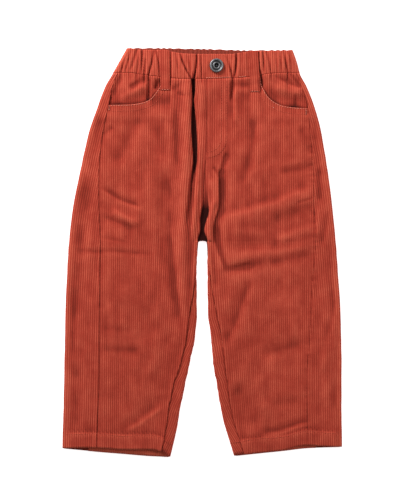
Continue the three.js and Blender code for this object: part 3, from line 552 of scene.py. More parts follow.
def placed(leg, along, y, ridge=0.0):
    """Points of cloth from its place round the leg, the directions out of its face, and those that its
    thickness is measured along. On top, along is the distance out from the centre line. Past either
    fold it turns round a half circle: out by the radius times the sine of the turn, up by the radius
    times its cosine, then straight underneath."""
    outer_start = leg.outer(y) - FOLD_RADIUS
    inner_start = leg.inner(y) + FOLD_RADIUS
    past_outer = along - outer_start
    past_inner = np.where(y < CROTCH, inner_start - along, -1)
    past = np.maximum(past_outer, past_inner)
    direction = np.where(past_outer > 0, 1.0, -1.0)
    start = np.where(past_outer > 0, outer_start, inner_start)
    round_it = past > 0
    out_top = np.where(round_it, start, along)
    height = top_height(leg, out_top, y, np.where(round_it, 0, ridge))
    turn = np.clip(past / FOLD_RADIUS, 0, np.pi)
    beneath = np.maximum(past - FOLD_LENGTH, 0)
    straight_up = np.broadcast_to([0.0, 0.0, 1.0], (*height.shape, 3))
    lift = np.where(turn < np.pi / 2, height - FOLD_RADIUS, FOLD_RADIUS)
    out = np.where(round_it, start + direction * (FOLD_RADIUS * np.sin(turn) - beneath), along)
    z = np.where(round_it, FOLD_RADIUS + lift * np.cos(turn), height)
    round_normal = np.stack([direction * np.sin(turn), 0 * turn, np.cos(turn)], -1)
    normal = np.where(round_it[..., None], round_normal, top_normal(leg, out_top, y))
    behind = np.where(round_it[..., None], round_normal, straight_up)
    points = np.stack([leg.side * out, y + 0 * out, z], -1)
    sided = np.array([leg.side, 1, 1])
    return points, normal * sided, behind * sided


def settled(along_at, hem_at, top_at, parts, above):
    """Settles y and the place across together, because each edge is given by the other: y is a part
    of the way from the crotch's level to the hem or the top edge, over and over until it stays."""
    y = np.where(above, CROTCH + parts * RISE_LENGTH, CROTCH - parts * LEG_LENGTH)
    along = along_at(y)
    for _ in range(SETTLING_ROUNDS):
        goal = np.where(above, top_at(along), hem_at(along))
        y = mix(CROTCH, goal, parts)
        along = along_at(y)
    return along, y


def row_parts(step):
    """Parts of the way from the hem up to the crotch's level, then on up to the top edge, and which
    of them lie above it. Rows are closer together just below the crotch, where the folds turn in."""
    down = np.linspace(1, 0, int(ROWS_DOWN / step) + 1)
    up = np.linspace(0, 1, int(ROWS_UP / step) + 1)[1:]
    close = np.array([0.0008, 0.0018, 0.003, 0.005, 0.008, 0.014, 0.022, 0.03])
    down = np.unique(np.concatenate([down, close]))[::-1]
    parts = np.concatenate([down, up])
    return parts[:, None], (np.arange(len(parts)) >= len(down))[:, None]


def ribs(across, fade):
    """Depth of the groove beside each rib: half a cosine wave to each pitch, faded out at seams."""
    return RIB_DEPTH * fade * (0.5 - 0.5 * np.cos(2 * np.pi * across / RIB_PITCH))


def sunken(height, rows, columns):
    """How far each point lies below the mean of those around it, some rows and columns each way."""
    padded = np.pad(height, ((rows + 1, rows), (columns + 1, columns)), "edge")
    total = padded.cumsum(0).cumsum(1)
    tall, wide = 2 * rows + 1, 2 * columns + 1
    block = total[tall:, wide:] - total[:-tall, wide:] - total[tall:, :-wide] + total[:-tall, :-wide]
    return block / (tall * wide) - height


def mesh_object(name, points, triangles, materials, uv=None, slots=None, painted_shading=None, smooth=True):
    """A mesh from points in millimetres and rows of three corners, smooth-shaded where told."""
    mesh = bpy.data.meshes.new(name)
    mesh.vertices.add(len(points))
    mesh.vertices.foreach_set("co", (points * MM).astype(np.float32).ravel())
    mesh.loops.add(triangles.size)
    mesh.loops.foreach_set("vertex_index", triangles.astype(np.int32).ravel())
    mesh.polygons.add(len(triangles))
    mesh.polygons.foreach_set("loop_start", np.arange(0, triangles.size, 3, dtype=np.int32))
    mesh.polygons.foreach_set("use_smooth", np.broadcast_to(smooth, len(triangles)))
    for material in materials:
        mesh.materials.append(material)
    if slots is not None:
        mesh.polygons.foreach_set("material_index", slots.astype(np.int32))
    if uv is not None:
        layer = mesh.uv_layers.new(name="grain")
        layer.data.foreach_set("uv", uv[triangles.ravel()].astype(np.float32).ravel())
    # The map of painted shade and painted light, one value to a point.
    if painted_shading is not None:
        shade = mesh.attributes.new("painted_shading", "FLOAT", "POINT")
        shade.data.foreach_set("value", painted_shading.astype(np.float32))
    mesh.update(calc_edges=True)
    mesh.validate()
    obj = bpy.data.objects.new(name, mesh)
    bpy.context.scene.collection.objects.link(obj)
    return obj


def split(cells):
    """Two triangles for each cell of four corners."""
    return np.concatenate([cells[:, [0, 1, 2]], cells[:, [0, 2, 3]]])


def are_whole(triangles):
    """Which triangles have three different corners."""
    return (np.diff(np.sort(triangles, axis=1), axis=1) > 0).all(axis=1)


def level_across(run):
    """Unit directions at right angles to a run of thread and level with the floor."""
    across = np.stack([-run[:, 1], run[:, 0], 0 * run[:, 0]], -1)
    return across / np.maximum(np.linalg.norm(across, axis=-1, keepdims=True), 1e-9)


def wall(name, outer, inner, grain, painted_shading, materials, turned=False, ribbed_inside=None, soft_rim=False):
    """A closed wall from two matching grids of points: the outer face, the inner face turned over and
    a rim between their borders. Points that fall together at a seam are merged, and triangles that
    have lost a corner are dropped. turned is for a grid that runs the other way round. Where
    ribbed_inside is true the inner face shows the ribs of a turned hem, and elsewhere the plain back.
    soft_rim is for an edge that is turned in, so it shades round."""
    rows, columns = outer.shape[:2]
    size = rows * columns
    at = np.arange(size).reshape(rows, columns)
    cells = np.stack([at[:-1, :-1], at[:-1, 1:], at[1:, 1:], at[1:, :-1]], -1).reshape(-1, 4)
    edge = np.concatenate([at[0, :-1], at[:-1, -1], at[-1, :0:-1], at[:0:-1, 0]])
    ahead = np.roll(edge, -1)
    rim = np.stack([edge, edge + size, ahead + size, ahead], -1)
    triangles = np.concatenate([split(rim), split(cells), split(cells[:, ::-1] + size)])
    ribbed = np.zeros(size, bool) if ribbed_inside is None else ribbed_inside.reshape(-1)
    plain = np.where(ribbed[cells[:, 0]], 0, 1)
    slots = np.concatenate([np.zeros(2 * (len(rim) + len(cells)), int), plain, plain])
    smooth = np.concatenate([np.full(2 * len(rim), soft_rim), np.ones(4 * len(cells), bool)])
    if turned:
        triangles = triangles[:, ::-1]
    points = np.concatenate([outer.reshape(-1, 3), inner.reshape(-1, 3)])
    uv = np.concatenate([grain.reshape(-1, 2)] * 2)
    # The ribbed inside of a turned hem gets painted light; the rest of the inside keeps at least some painted
    # shade.
    shade = np.concatenate([painted_shading.ravel(), np.where(ribbed, HEM_INSIDE_PAINTED_LIGHT, np.maximum(painted_shading.ravel(), 0.25))])
    _, kept, number = np.unique(np.round(points * 1000), axis=0, return_index=True, return_inverse=True)
    triangles = number.reshape(-1)[triangles]
    whole = are_whole(triangles)
    return mesh_object(name, points[kept], triangles[whole], materials, uv[kept], slots[whole],
                       shade[kept], smooth[whole])


def cloth_piece(name, leg, places, grain_at, ends, hem, materials, drop=0.0, ridge=0.0, shade=0.0):
    """A panel's wall from the places of its points. The outer face has a rib to each pitch of the
    grain, and sinks by a bell of the distance to its two side edges. A facing is lowered by drop, but
    comes up to the band's seam beside the mouth. The map of painted shading is the hollowness of the
    height, painted shade in hollows and painted light on crests, with more painted shade at the side
    edges, in valleys and as shade says, and a painted highlight along the hem's edge."""
    along, y = places
    points, normal, behind = placed(leg, along, y, ridge)
    beside_mouth = ease(along, leg.mouth_end + 1, leg.mouth_end + 5)
    points[..., 2] -= drop * (1 - bell(waist_seam(leg.side * along) - y, 4) * beside_mouth)
    side_gap = np.minimum(along - ends[0], ends[1] - along)
    height = points[..., 2]
    # Painted shade in hollows and painted light on crests, more painted shade along the side edges and in the
    # valleys, and a painted highlight along the hem's edge.
    hollow = 0.7 * sunken(height, 2, 6) + 0.6 * sunken(height, 5, 16)
    painted_shading = np.clip(hollow, -0.6, 0.7) + mix(0.45, 0.2, leg.side > 0) * bell(side_gap, 0.8)
    painted_shading = painted_shading + shade + valley_shade(points[..., 0], y) - 0.9 * bell(y - hem, 1)
    sunk = ribs(grain_at, ease(side_gap, 0.2, 1.6)) + SEAM_SINK * bell(side_gap, SEAM_ROUND)
    thick = mix(CLOTH, HEM_CLOTH, doubled(hem, y))
    grain = np.stack([grain_at / RIB_PITCH, y / RIB_PITCH], -1)
    outer = points - normal * sunk[..., None]
    inner = points - behind * thick[..., None]
    return wall(name, outer, inner, grain, painted_shading, materials, turned=leg.side < 0)


def inner_edge(leg, y):
    """Where the front panel ends inwards: the front seam above the crotch, the inseam below it."""
    below = leg.inner(y) + FOLD_RADIUS + leg.inseam(y) + INSEAM_GAP / 2
    return np.where(y >= CROTCH, leg.side * centre_front(y) + SEAM_GAP / 2, below)


def lean(leg, out, y):
    """How far the ribs of a front have moved outwards: more towards the hem and the inseam."""
    fall = np.clip((60 - y) / 300, 0, 1)
    near_fly = bell(out - 20, 24) * ease(y, 10, 80) * (leg.side < 0)
    wander = 0.5 * wide_wave(1.3 * out, 0.5 * y)
    return 17 * fall**1.3 * (1 - ease(out, 20, 125)) - 0.09 * near_fly * (y - 140) + wander


def front_panel(leg, materials):
    """The front panel: columns along the ribs, cut off at the centre seam, the inseam and the side
    seam, and rows from the hem up to the waistband seam and the pocket mouth."""
    parts, above = row_parts(ROW_STEP)
    grain = np.arange(-32, 142, RIB_STEP)[None, :]

    def along_at(y):
        """Each column's place: that of its own rib, leaning, held between the two side edges."""
        free = grain + lean(leg, grain, y)
        return np.clip(free, inner_edge(leg, y), leg.side_seam(y) - SEAM_GAP / 2)

    def top_at(out):
        """The top edge: the waist seam or, past the mouth's end, the lower of it and the mouth."""
        seam = waist_seam(leg.side * out)
        edge = np.where(out > leg.mouth_end, np.minimum(seam, leg.mouth(out)), seam)
        return edge - SEAM_GAP / 2

    along, y = settled(along_at, leg.hem_top, top_at, parts, above)
    grain_at = grain + (along - grain - lean(leg, grain, y))
    low, high = inner_edge(leg, y), leg.side_seam(y) - SEAM_GAP / 2
    inseam_ridge = 0.6 * bell(along - low, SEAM_REACH) * (y < CROTCH)
    ridge = -SEAM_RIDGE * bell(high - along, SEAM_REACH) + inseam_ridge
    return cloth_piece(leg.name + "_front_cloth", leg, (along, y), grain_at, (low, high),
                       leg.hem_top(along), materials, ridge=ridge)


def side_panel(leg, materials):
    """The side panel: ribs at fixed distances from the outer fold, cut off at the side seam on top
    and at the seam underneath."""
    parts, above = row_parts(ROW_STEP)
    from_fold = np.arange(-48, FOLD_LENGTH + BACK_SEAM_INSET + RIB_STEP, RIB_STEP)[None, :]
    last = FOLD_LENGTH + BACK_SEAM_INSET - SEAM_GAP / 2

    def along_at(y):
        """Each column's place, at its own distance from the fold, held between the two seams."""
        start = leg.outer(y) - FOLD_RADIUS
        return np.clip(start + from_fold, leg.side_seam(y) + SEAM_GAP / 2, start + last)

    def hem_at(along):
        """The hem, which goes from its upper edge to its lower one as it turns round the fold."""
        start = leg.outer(-245) - FOLD_RADIUS
        turned = np.clip((along - start) / FOLD_LENGTH, 0, 1)
        out = start - np.abs(along - start - FOLD_LENGTH * (along > start))
        return mix(leg.hem_top(out), leg.hem_under(out), turned)

    def top_at(along):
        """The top edge, level below the back band."""
        return BACK_WAIST - SEAM_GAP / 2 + 0 * along

    along, y = settled(along_at, hem_at, top_at, parts, above)
    low = leg.side_seam(y) + SEAM_GAP / 2
    start = leg.outer(y) - FOLD_RADIUS
    ridge = SEAM_RIDGE * bell(along - low, SEAM_REACH)
    return cloth_piece(leg.name + "_side_cloth", leg, (along, y), along - start, (low, start + last),
                       hem_at(along), materials, ridge=ridge)


def back_panel(leg, materials):
    """The back panel: upright ribs on the flat cloth underneath, which go on round the inner fold and
    come out slanting on top, as far as the inseam. Above the crotch it ends at the centre line."""
    parts, above = row_parts(BACK_ROW_STEP)
    grain = np.arange(-12, 146, RIB_STEP)[None, ::-1]

    def bounds_at(y):
        """The two side edges: the inseam or the centre back, and the seam underneath."""
        start = leg.inner(y) + FOLD_RADIUS
        side_end = leg.outer(y) - FOLD_RADIUS - BACK_SEAM_INSET - SEAM_GAP / 2
        seam = start - FOLD_LENGTH - leg.inseam(y) + INSEAM_GAP / 2
        return np.where(y < CROTCH, seam, SEAM_GAP / 2), side_end

    def along_at(y):
        """Each column's place: that of its own rib, held between the two side edges."""
        low, high = bounds_at(y)
        return np.clip(grain, low, high)

    def hem_at(out):
        """The hem, which goes from its lower edge to its upper one as it turns round the inner fold."""
        start = leg.inner(-254) + FOLD_RADIUS
        turned = np.clip((start - out) / FOLD_LENGTH, 0, 1)
        on_top = np.maximum(start - FOLD_LENGTH - out, 0)
        shown = np.where(out > start, out, start + on_top)
        return mix(leg.hem_under(shown), leg.hem_top(shown), turned)

    def top_at(out):
        """The top edge, level below the back band."""
        return BACK_WAIST - SEAM_GAP / 2 + 0 * out

    out, y = settled(along_at, hem_at, top_at, parts, above)
    low, high = bounds_at(y)
    start = leg.inner(np.minimum(y, CROTCH)) + FOLD_RADIUS
    folded = (y < CROTCH) & (out < start)
    along = np.where(folded, start - FOLD_LENGTH + (start - out), out)
    points, normal, behind = placed(leg, np.where(folded, along, start), y)
    flat = np.stack([leg.side * out, y, 0 * out], -1)
    from_hem = y - hem_at(out)
    points = np.where(folded[..., None], points, flat)
    down = np.array([0, 0, -1.0])
    normal, behind = (np.where(folded[..., None], way, down) for way in (normal, behind))
    side_gap = np.minimum(out - low, high - out)
    lower = 0.5 * bell(out - low, 7) * folded
    sunk = ribs(out, ease(side_gap, 0.2, 1.6)) + SEAM_SINK * bell(side_gap, SEAM_ROUND) * folded + lower
    thick = mix(CLOTH, HEM_CLOTH, doubled(hem_at(out), y)) + 1.1 * bell(from_hem, 7) * ~folded
    uv = np.stack([out / RIB_PITCH, y / RIB_PITCH], -1)
    outer = points - normal * sunk[..., None]
    inner = points - behind * thick[..., None]
    # Painted shade along the inseam, on the cloth folded over on top.
    painted_shading = 0.2 * bell(out - low, 1.6) * folded
    turned_up = doubled(hem_at(out), y) > 0.5
    return wall(leg.name + "_back_cloth", outer, inner, uv, painted_shading, materials, leg.side < 0, turned_up)


def pocket_facing(leg, materials):
    """The facing in the pocket mouth, lower than the front panel and running on under its edge."""
    up = np.linspace(0, 1, 45)[:, None]
    low = leg.mouth_end - POCKET_UNDERLAP
    grain = np.arange(low, 136, RIB_STEP)[None, :]
    y = mix(FACING_FOOT, 220, up)
    for _ in range(12):
        along = np.clip(grain, low, leg.side_seam(y) - SEAM_GAP / 2)
        y = mix(FACING_FOOT, waist_seam(leg.side * along) - SEAM_GAP / 2, up)
    high = leg.side_seam(y) - SEAM_GAP / 2
    above_mouth = np.maximum(y - leg.mouth(along), 0)
    drop = POCKET_DROP * (1 - ease(above_mouth, 6, 22))
    # Painted shadow on the facing just above the mouth, fading upwards, with more where the table says.
    patches = leg.mouth_shade
    extra = patches["extra"] * bell(along[..., None] - patches["out"], patches["half"])
    shade = (1.2 + extra.sum(-1)) * np.exp(-above_mouth / 3)
    return cloth_piece(leg.name + "_pocket_facing_cloth", leg, (along, y), along, (low, high),
                       leg.hem_top(along), materials, drop=drop, shade=shade)


def band_height(part):
    """Middle height of the front band: a sine crown between its two edges."""
    return 2 * BAND_RADIUS - BAND_CROWN * (1 - np.sin(np.pi * mix(0.12, 0.88, part)))


def gather_depth(x, part):
    """Depth of the gathers: the deepest bell of the distance to any gather's curved line, less the
    fullness of the cloth pushed up between them. Lines and dips are parabolas through their foot,
    middle and top. Under a belt loop and the button the cloth is held flat."""
    part = part[..., None]
    at_foot, at_middle, at_top = (2 * part - 1) * (part - 1), 4 * part * (1 - part), part * (2 * part - 1)
    shares = {"foot": at_foot, "middle": at_middle, "top": at_top}
    lines, dips = (sum(GATHERS[kind + end] * share for end, share in shares.items()) for kind in ("", "dip_"))
    aside = x[..., None] - lines
    depths = np.maximum(dips, 0) * bell(aside, GATHERS["half"])
    between = 1 - np.exp(-(np.abs(aside) + 2 * (dips < 0.4)).min(-1) / 2.6)
    loop_middle = (LOOPS["top_left"] + LOOPS["foot_right"]) / 2
    free = 1 - np.maximum(bell(x[..., None] - loop_middle, 6).max(-1), bell(x - BUTTON_X, 11))
    puffs = 0.9 * between * np.sin(np.pi * mix(0.1, 0.9, part[..., 0])) * free
    small = 0.25 * np.sin(x * 1.32 + 1.5 * np.sin(x * 0.21 + 2 * part[..., 0])) * free
    return keep_above(-depths.max(-1) + puffs + small, GATHER_LIMIT)


def side_turn(leg, start, y, radius, lift):
    """The band's quarter turn at a side: out from its start by the radius times the sine of the turn,
    and off its middle height by the lift times the cosine."""
    turns = np.linspace(0, 0.95, 8)[1:] * np.pi / 2
    out = start + radius * np.sin(turns)
    z = BAND_RADIUS + lift * np.cos(turns) * np.ones_like(y)
    return np.stack([leg.side * out, y + 0 * out, z], -1)


def band_piece(name, is_front, materials):
    """Half of the elasticated band: flat between two quarter turns at the sides, where it ends just
    short of the other half. The front half is gathered on its outer face only."""
    edge, seam = (front_top, waist_seam) if is_front else (back_top, lambda x: BACK_WAIST + 0 * x)
    up = 1 if is_front else -1
    part = np.linspace(0, 1, 21)[:, None]
    ends = []
    for leg in LEGS:
        seam_out = leg.side * leg.outer(np.array(BACK_WAIST))
        top_out = leg.side * leg.outer(np.array(BAND_TOP))
        end_y = mix(seam(seam_out) + SEAM_GAP / 2, edge(top_out), part)
        ends.append((end_y, leg.outer(end_y) - BAND_RADIUS))
    places = np.arange(-118, 126, RIB_STEP)[None, :]
    x = np.clip(places, -ends[0][1], ends[1][1])
    y = mix(seam(x) + SEAM_GAP / 2, edge(x), part)
    if not is_front:
        y = y + 0.4 * np.sin(x * 0.62 + 2 * np.sin(x * 0.13)) * ease(part, 0.5, 1)
    crown = band_height(part + 0 * x) if is_front else 0 * x
    side_fade = ease(np.minimum(x + ends[0][1], ends[1][1] - x), 0, 4)
    rib = ribs(x * GATHERED_RIBS, 0.8 * side_fade)
    if is_front:
        outer_z = crown + gather_depth(x, part + 0 * x) * side_fade - rib
        inner_z = 0 * x + 2 * BAND_RADIUS - BAND_WALL
    else:
        elastic = 0.35 * np.sin(x * 1.25 + 1.2 * np.sin(x * 0.19)) * side_fade
        outer_z = rib
        inner_z = BAND_WALL + elastic
    lift = (crown[:, :1] - BAND_RADIUS) if is_front else BAND_RADIUS
    wall_radius = BAND_RADIUS - BAND_WALL
    outer_parts, inner_parts = [], []
    for leg, (end_y, start) in zip(LEGS, ends):
        outer_parts.append(side_turn(leg, start, end_y, BAND_RADIUS, up * lift))
        inner_parts.append(side_turn(leg, start, end_y, wall_radius, up * wall_radius))
    outer = np.concatenate([outer_parts[0][:, ::-1], np.stack([x, y, outer_z], -1), outer_parts[1]], 1)
    inner = np.concatenate([inner_parts[0][:, ::-1], np.stack([x, y, inner_z], -1), inner_parts[1]], 1)
    grain = np.stack([outer[..., 0] * GATHERED_RIBS / RIB_PITCH, outer[..., 1] / RIB_PITCH], -1)
    # Painted shading: the back band a little darker throughout; on the front, painted shade in the gathers'
    # hollows, painted light on the cloth between them, the whole band a little lighter, and painted shade in
    # the valleys.
    painted_shading = 0.2 + 0 * outer[..., 2]
    if is_front:
        painted_shading = np.maximum(sunken(outer[..., 2], 2, 6), -0.8) - 0.3
        painted_shading = painted_shading + valley_shade(outer[..., 0], outer[..., 1])
    return wall(name, outer, inner, grain, painted_shading, materials, turned=not is_front)


def loop_base(leg, x, y):
    """Height of what a belt loop lies on: the front panel, eased up to the band."""
    on_band = ease(y, waist_seam(x) - 12, waist_seam(x) + 1)
    part = (y - waist_seam(x)) / (front_top(x) - waist_seam(x))
    return mix(top_height(leg, np.abs(x), y), band_height(np.clip(part, 0, 1)) + 0.1, on_band) + SEAM_GAP


def belt_loop(leg, sizes, materials):
    """A strip over the band and down onto the front panel. Its long edges are turned in, so that they
    fall away as a fourth power, and two rows of stitching press it down beside them."""
    part = np.linspace(0, 1, 40)[:, None]
    over = np.linspace(0, 1, 21)[None, :]
    foot = mix(sizes["foot_left"], sizes["foot_right"], over)
    x = mix(foot, mix(sizes["top_left"], sizes["top_right"], over), part)
    y = mix(sizes["foot"], front_top(x) + 0.6, part)
    base = loop_base(leg, x, y)
    aside = 2 * over - 1
    crown = mix(-0.3, 0.4, ease(part, 0, 0.05)) * (1 - aside**4)
    pressed = 0.2 * bell(np.abs(aside) - 0.62, 0.12)
    rib = ribs(over * LOOP_RIBS * RIB_PITCH + 0 * x, 0.7)
    outer = np.stack([x, y, base + LOOP_CLOTH + crown - pressed - rib], -1)
    inner = np.stack([x, y, base], -1)
    grain = np.stack([over * LOOP_RIBS + 0 * x, y / RIB_PITCH], -1)
    # Painted shade along the turned edges and the pressed lines beside them, the rest a little lighter.
    painted_shading = 0.3 * aside**6 + pressed - 0.2 + 0 * x
    return wall(leg.name + "_belt_loop_cloth", outer, inner, grain, painted_shading, materials, soft_rim=True)


def lathe(name, section, sides, centre, materials):
    """A closed body of revolution: each point of the section (distance from the axis, height, painted
    shade) goes round by the sine and cosine of the turn. The first and last points lie on the axis."""
    section = np.array(section)
    turn = np.linspace(0, 2 * np.pi, sides, endpoint=False)
    ring = section[1:-1]
    x = centre[0] + ring[:, :1] * np.cos(turn)
    y = centre[1] + ring[:, :1] * np.sin(turn)
    z = centre[2] + ring[:, 1:2] + 0 * turn
    points = np.stack([x, y, z], -1).reshape(-1, 3)
    poles = [[centre[0], centre[1], centre[2] + level] for level in section[[0, -1], 1]]
    at = np.arange(len(points)).reshape(len(ring), sides)
    ahead = np.roll(at, -1, axis=1)
    cells = np.stack([at[:-1], ahead[:-1], ahead[1:], at[1:]], -1).reshape(-1, 4)
    foot, head = len(points), len(points) + 1
    under = np.stack([np.full(sides, foot), ahead[0], at[0]], -1)
    over = np.stack([np.full(sides, head), at[-1], ahead[-1]], -1)
    # Each ring's painted shade from the section, and the two poles'.
    shade = np.concatenate([np.repeat(ring[:, 2], sides), section[[0, -1], 2]])
    triangles = np.concatenate([split(cells), under, over])
    return mesh_object(name, np.concatenate([points, poles]), triangles, materials, painted_shading=shade)


def stitches(name, lines, materials, radius):
    """Rows of stitches joined in one mesh. Each stitch is a six-sided thread whose radius follows the
    square root of a sine along it and whose middle stands up from the cloth by the same amount."""
    rings, thread_sides = 5, 6
    along = np.linspace(0, 1, rings)
    turn = np.linspace(0, 2 * np.pi, thread_sides, endpoint=False)
    all_points, all_cells = [], []
    made = 0
    for line in lines:
        way = np.concatenate([[0], np.cumsum(np.linalg.norm(np.diff(line, axis=0), axis=1))])
        starts = np.arange(STITCH_GAP, way[-1] - STITCH_LENGTH, STITCH_LENGTH + STITCH_GAP)
        at = starts[:, None] + along * STITCH_LENGTH
        middle = np.stack([np.interp(at, way, line[:, k]) for k in range(3)], -1)
        swell = np.sqrt(np.sin(np.pi * mix(0.04, 0.96, along)))
        middle[..., 2] += 0.16 * swell - 0.04
        across = level_across(middle[:, -1] - middle[:, 0])
        upright = np.array([0, 0, 1.0]) * np.sin(turn)[:, None]
        ring = radius * swell[:, None, None] * (np.cos(turn)[:, None] * across[:, None, None] + upright)
        points = middle[:, :, None] + ring
        numbers = made + np.arange(points[..., 0].size).reshape(len(starts), rings, thread_sides)
        ahead = np.roll(numbers, -1, axis=2)
        sides = np.stack([numbers[:, :-1], ahead[:, :-1], ahead[:, 1:], numbers[:, 1:]], -1).reshape(-1, 4)
        ends = [numbers[:, 0][:, [5, 4, 1, 0]], numbers[:, 0][:, [4, 3, 2, 1]],
                numbers[:, 4][:, [0, 1, 4, 5]], numbers[:, 4][:, [1, 2, 3, 4]]]
        all_points.append(points.reshape(-1, 3))
        all_cells.append(np.concatenate([sides, *ends]))
        made += numbers.size
    return mesh_object(name, np.concatenate(all_points), split(np.concatenate(all_cells)), materials)


def on_front(leg, x, y, lift=0.0):
    """Points of a line of stitches on the cloth on top."""
    return np.stack([x, y, top_height(leg, leg.side * x, y) + lift], -1)


def mouth_line(leg, inside):
    """A line that follows the pocket mouth at a distance inside the front panel."""
    last = leg.side_seam(np.array(183.0)) - 1
    out = np.linspace(leg.mouth_end + 0.5, last, 160)
    y = np.minimum(leg.mouth(out), waist_seam(leg.side * out))
    slope_out, slope_y = np.gradient(out), np.gradient(y)
    size = np.hypot(slope_out, slope_y)
    shifted_out = out + inside * slope_y / size
    shifted_y = y - inside * slope_out / size
    keep = shifted_out < leg.side_seam(shifted_y) - 0.8
    keep &= shifted_y < waist_seam(leg.side * shifted_out) - 1
    return on_front(leg, leg.side * shifted_out[keep], shifted_y[keep], -0.02 * inside)


def fly_line(inside):
    """The J of the mock fly: straight down, then a quarter turn in to the folded edge."""
    turn = np.linspace(0, np.pi / 2, 40)
    width = FLY_WIDTH - inside
    down = np.linspace(FLY_TOP, FLY_FOOT + FLY_WIDTH, 60)
    x = np.concatenate([0 * down + FLY_EDGE + width, FLY_EDGE + width * np.cos(turn)])
    y = np.concatenate([down, FLY_FOOT + FLY_WIDTH - width * np.sin(turn)])
    return on_front(LEGS[1], x, y, -0.15)


def hem_line(leg):
    """Stitching at the hem's depth, from the inseam out to the outer fold."""
    level = np.array(HEM_LEVEL)
    out = np.linspace(leg.inner(level) + FOLD_RADIUS, leg.outer(level) - FOLD_RADIUS, 240)
    y = leg.hem_top(out) + HEM_DEPTH + 0.5 * np.sin(out * 0.11)
    return on_front(leg, leg.side * out, y, -0.12)


def bar_tack(centre, length, angle, height):
    """A bar tack: a tight zigzag along its length."""
    width, pitch = 1.5, 0.7
    at = np.linspace(-0.5, 0.5, 2 * int(length / pitch) + 1)
    aside = width / 2 * np.where(np.arange(len(at)) % 2 == 0, 1, -1)
    x = centre[0] + at * length * np.cos(angle) - aside * np.sin(angle)
    y = centre[1] + at * length * np.sin(angle) + aside * np.cos(angle)
    return np.stack([x, y, np.full_like(x, height)], -1)


def thread_tube(name, lines, radius, materials):
    """Thread laid along lines of points: a five-sided tube about each line, closed at its ends."""
    thread_sides = 5
    turn = np.linspace(0, 2 * np.pi, thread_sides, endpoint=False)
    all_points, all_cells = [], []
    made = 0
    for line in lines:
        across = level_across(np.gradient(line, axis=0))
        upright = np.array([0, 0, 1.0]) * np.sin(turn)[:, None]
        ring = np.cos(turn)[:, None] * across[:, None] + upright
        points = line[:, None] + radius * ring
        numbers = made + np.arange(len(line) * thread_sides).reshape(len(line), thread_sides)
        ahead = np.roll(numbers, -1, axis=1)
        sides = np.stack([numbers[:-1], ahead[:-1], ahead[1:], numbers[1:]], -1).reshape(-1, 4)
        ends = np.array([numbers[0][[4, 3, 1, 0]], numbers[0][[3, 2, 1, 1]],
                         numbers[-1][[0, 1, 3, 4]], numbers[-1][[1, 1, 2, 3]]])
        all_points.append(points.reshape(-1, 3))
        all_cells.append(np.concatenate([sides, ends]))
        made += numbers.size
    triangles = split(np.concatenate(all_cells))
    return mesh_object(name, np.concatenate(all_points), triangles[are_whole(triangles)], materials)


class Nodes:
    """Short words for a material's nodes and the links between them."""

    def __init__(self, name, base, roughness, specular=0.2, metallic=0.0):
        self.material = bpy.data.materials.new(name)
        self.material.use_nodes = True
        self.tree = self.material.node_tree
        self.shader = self.tree.nodes["Principled BSDF"]
        self.shader.inputs["Base Color"].default_value = (*base, 1)
        self.shader.inputs["Roughness"].default_value = roughness
        self.shader.inputs["Specular IOR Level"].default_value = specular
        self.shader.inputs["Metallic"].default_value = metallic

    def add(self, kind, **settings):
        """A new node with the given settings."""
        node = self.tree.nodes.new(kind)
        for key, value in settings.items():
            setattr(node, key, value)
        return node

    def link(self, source, target):
        """A link from an output to an input."""
        self.tree.links.new(source, target)

    def math(self, operation, first, second=None, third=None):
        """The result of an operation on outputs and plain numbers."""
        node = self.add("ShaderNodeMath", operation=operation)
        for socket, value in zip(node.inputs, (first, second, third)):
            if value is None:
                continue
            if isinstance(value, (int, float)):
                socket.default_value = value
            else:
                self.link(value, socket)
        return node.outputs[0]

    def spread(self, value, amount):
        """A value of 0 to 1 as a shift of half the amount down to half the amount up."""
        return self.math("MULTIPLY_ADD", value, amount, -amount / 2)

    def noise(self, vector, scale, detail=2.0):
        """Smooth noise of 0 to 1, its scale in waves to a metre or to a unit of the map it reads."""
        node = self.add("ShaderNodeTexNoise")
        node.inputs["Scale"].default_value = scale
        node.inputs["Detail"].default_value = detail
        self.link(vector, node.inputs["Vector"])
        return node.outputs["Fac"]

    def stretched(self, vector, x, y, z=1.0):
        """Coordinates times a number of their own for each axis."""
        node = self.add("ShaderNodeMapping")
        node.inputs["Scale"].default_value = (x, y, z)
        self.link(vector, node.inputs["Vector"])
        return node.outputs[0]

    def ramp(self, factor, *stops):
        """A colour that runs through the stops, each a factor and its colour."""
        node = self.add("ShaderNodeValToRGB")
        elements = node.color_ramp.elements
        while len(elements) < len(stops):
            elements.new(0.5)
        for element, (place, colour) in zip(elements, stops):
            element.position = place
            element.color = (*colour, 1)
        self.link(factor, node.inputs[0])
        return node.outputs[0]

    def blend(self, factor, first, second):
        """First turning to the colour second as the factor goes from 0 to 1."""
        node = self.add("ShaderNodeMix", data_type="RGBA", clamp_factor=True)
        self.link(factor, node.inputs["Factor"])
        self.link(first, node.inputs[6])
        node.inputs[7].default_value = (*second, 1)
        return node.outputs[2]

    def bump(self, height, strength, distance):
        """Fine relief on the surface, with its full depth in metres."""
        node = self.add("ShaderNodeBump")
        node.inputs["Strength"].default_value = strength
        node.inputs["Distance"].default_value = distance
        self.link(height, node.inputs["Height"])
        self.link(node.outputs[0], self.shader.inputs["Normal"])


def linear(red, green, blue):
    """A display colour of 0 to 255 as the linear values that a shader takes."""
    values = np.array([red, green, blue]) / 255
    return tuple(np.where(values <= 0.04045, values / 12.92, ((values + 0.055) / 1.055) ** 2.4).tolist())


# Rib colours: a painted highlight on the rib top, the cloth's own colour on its side and painted shade in the
# groove.
RIB_TOP_HIGHLIGHT = linear(216, 101, 76)
RIB_SIDE = linear(178, 64, 48)
RIB_GROOVE_SHADE = linear(140, 46, 33)
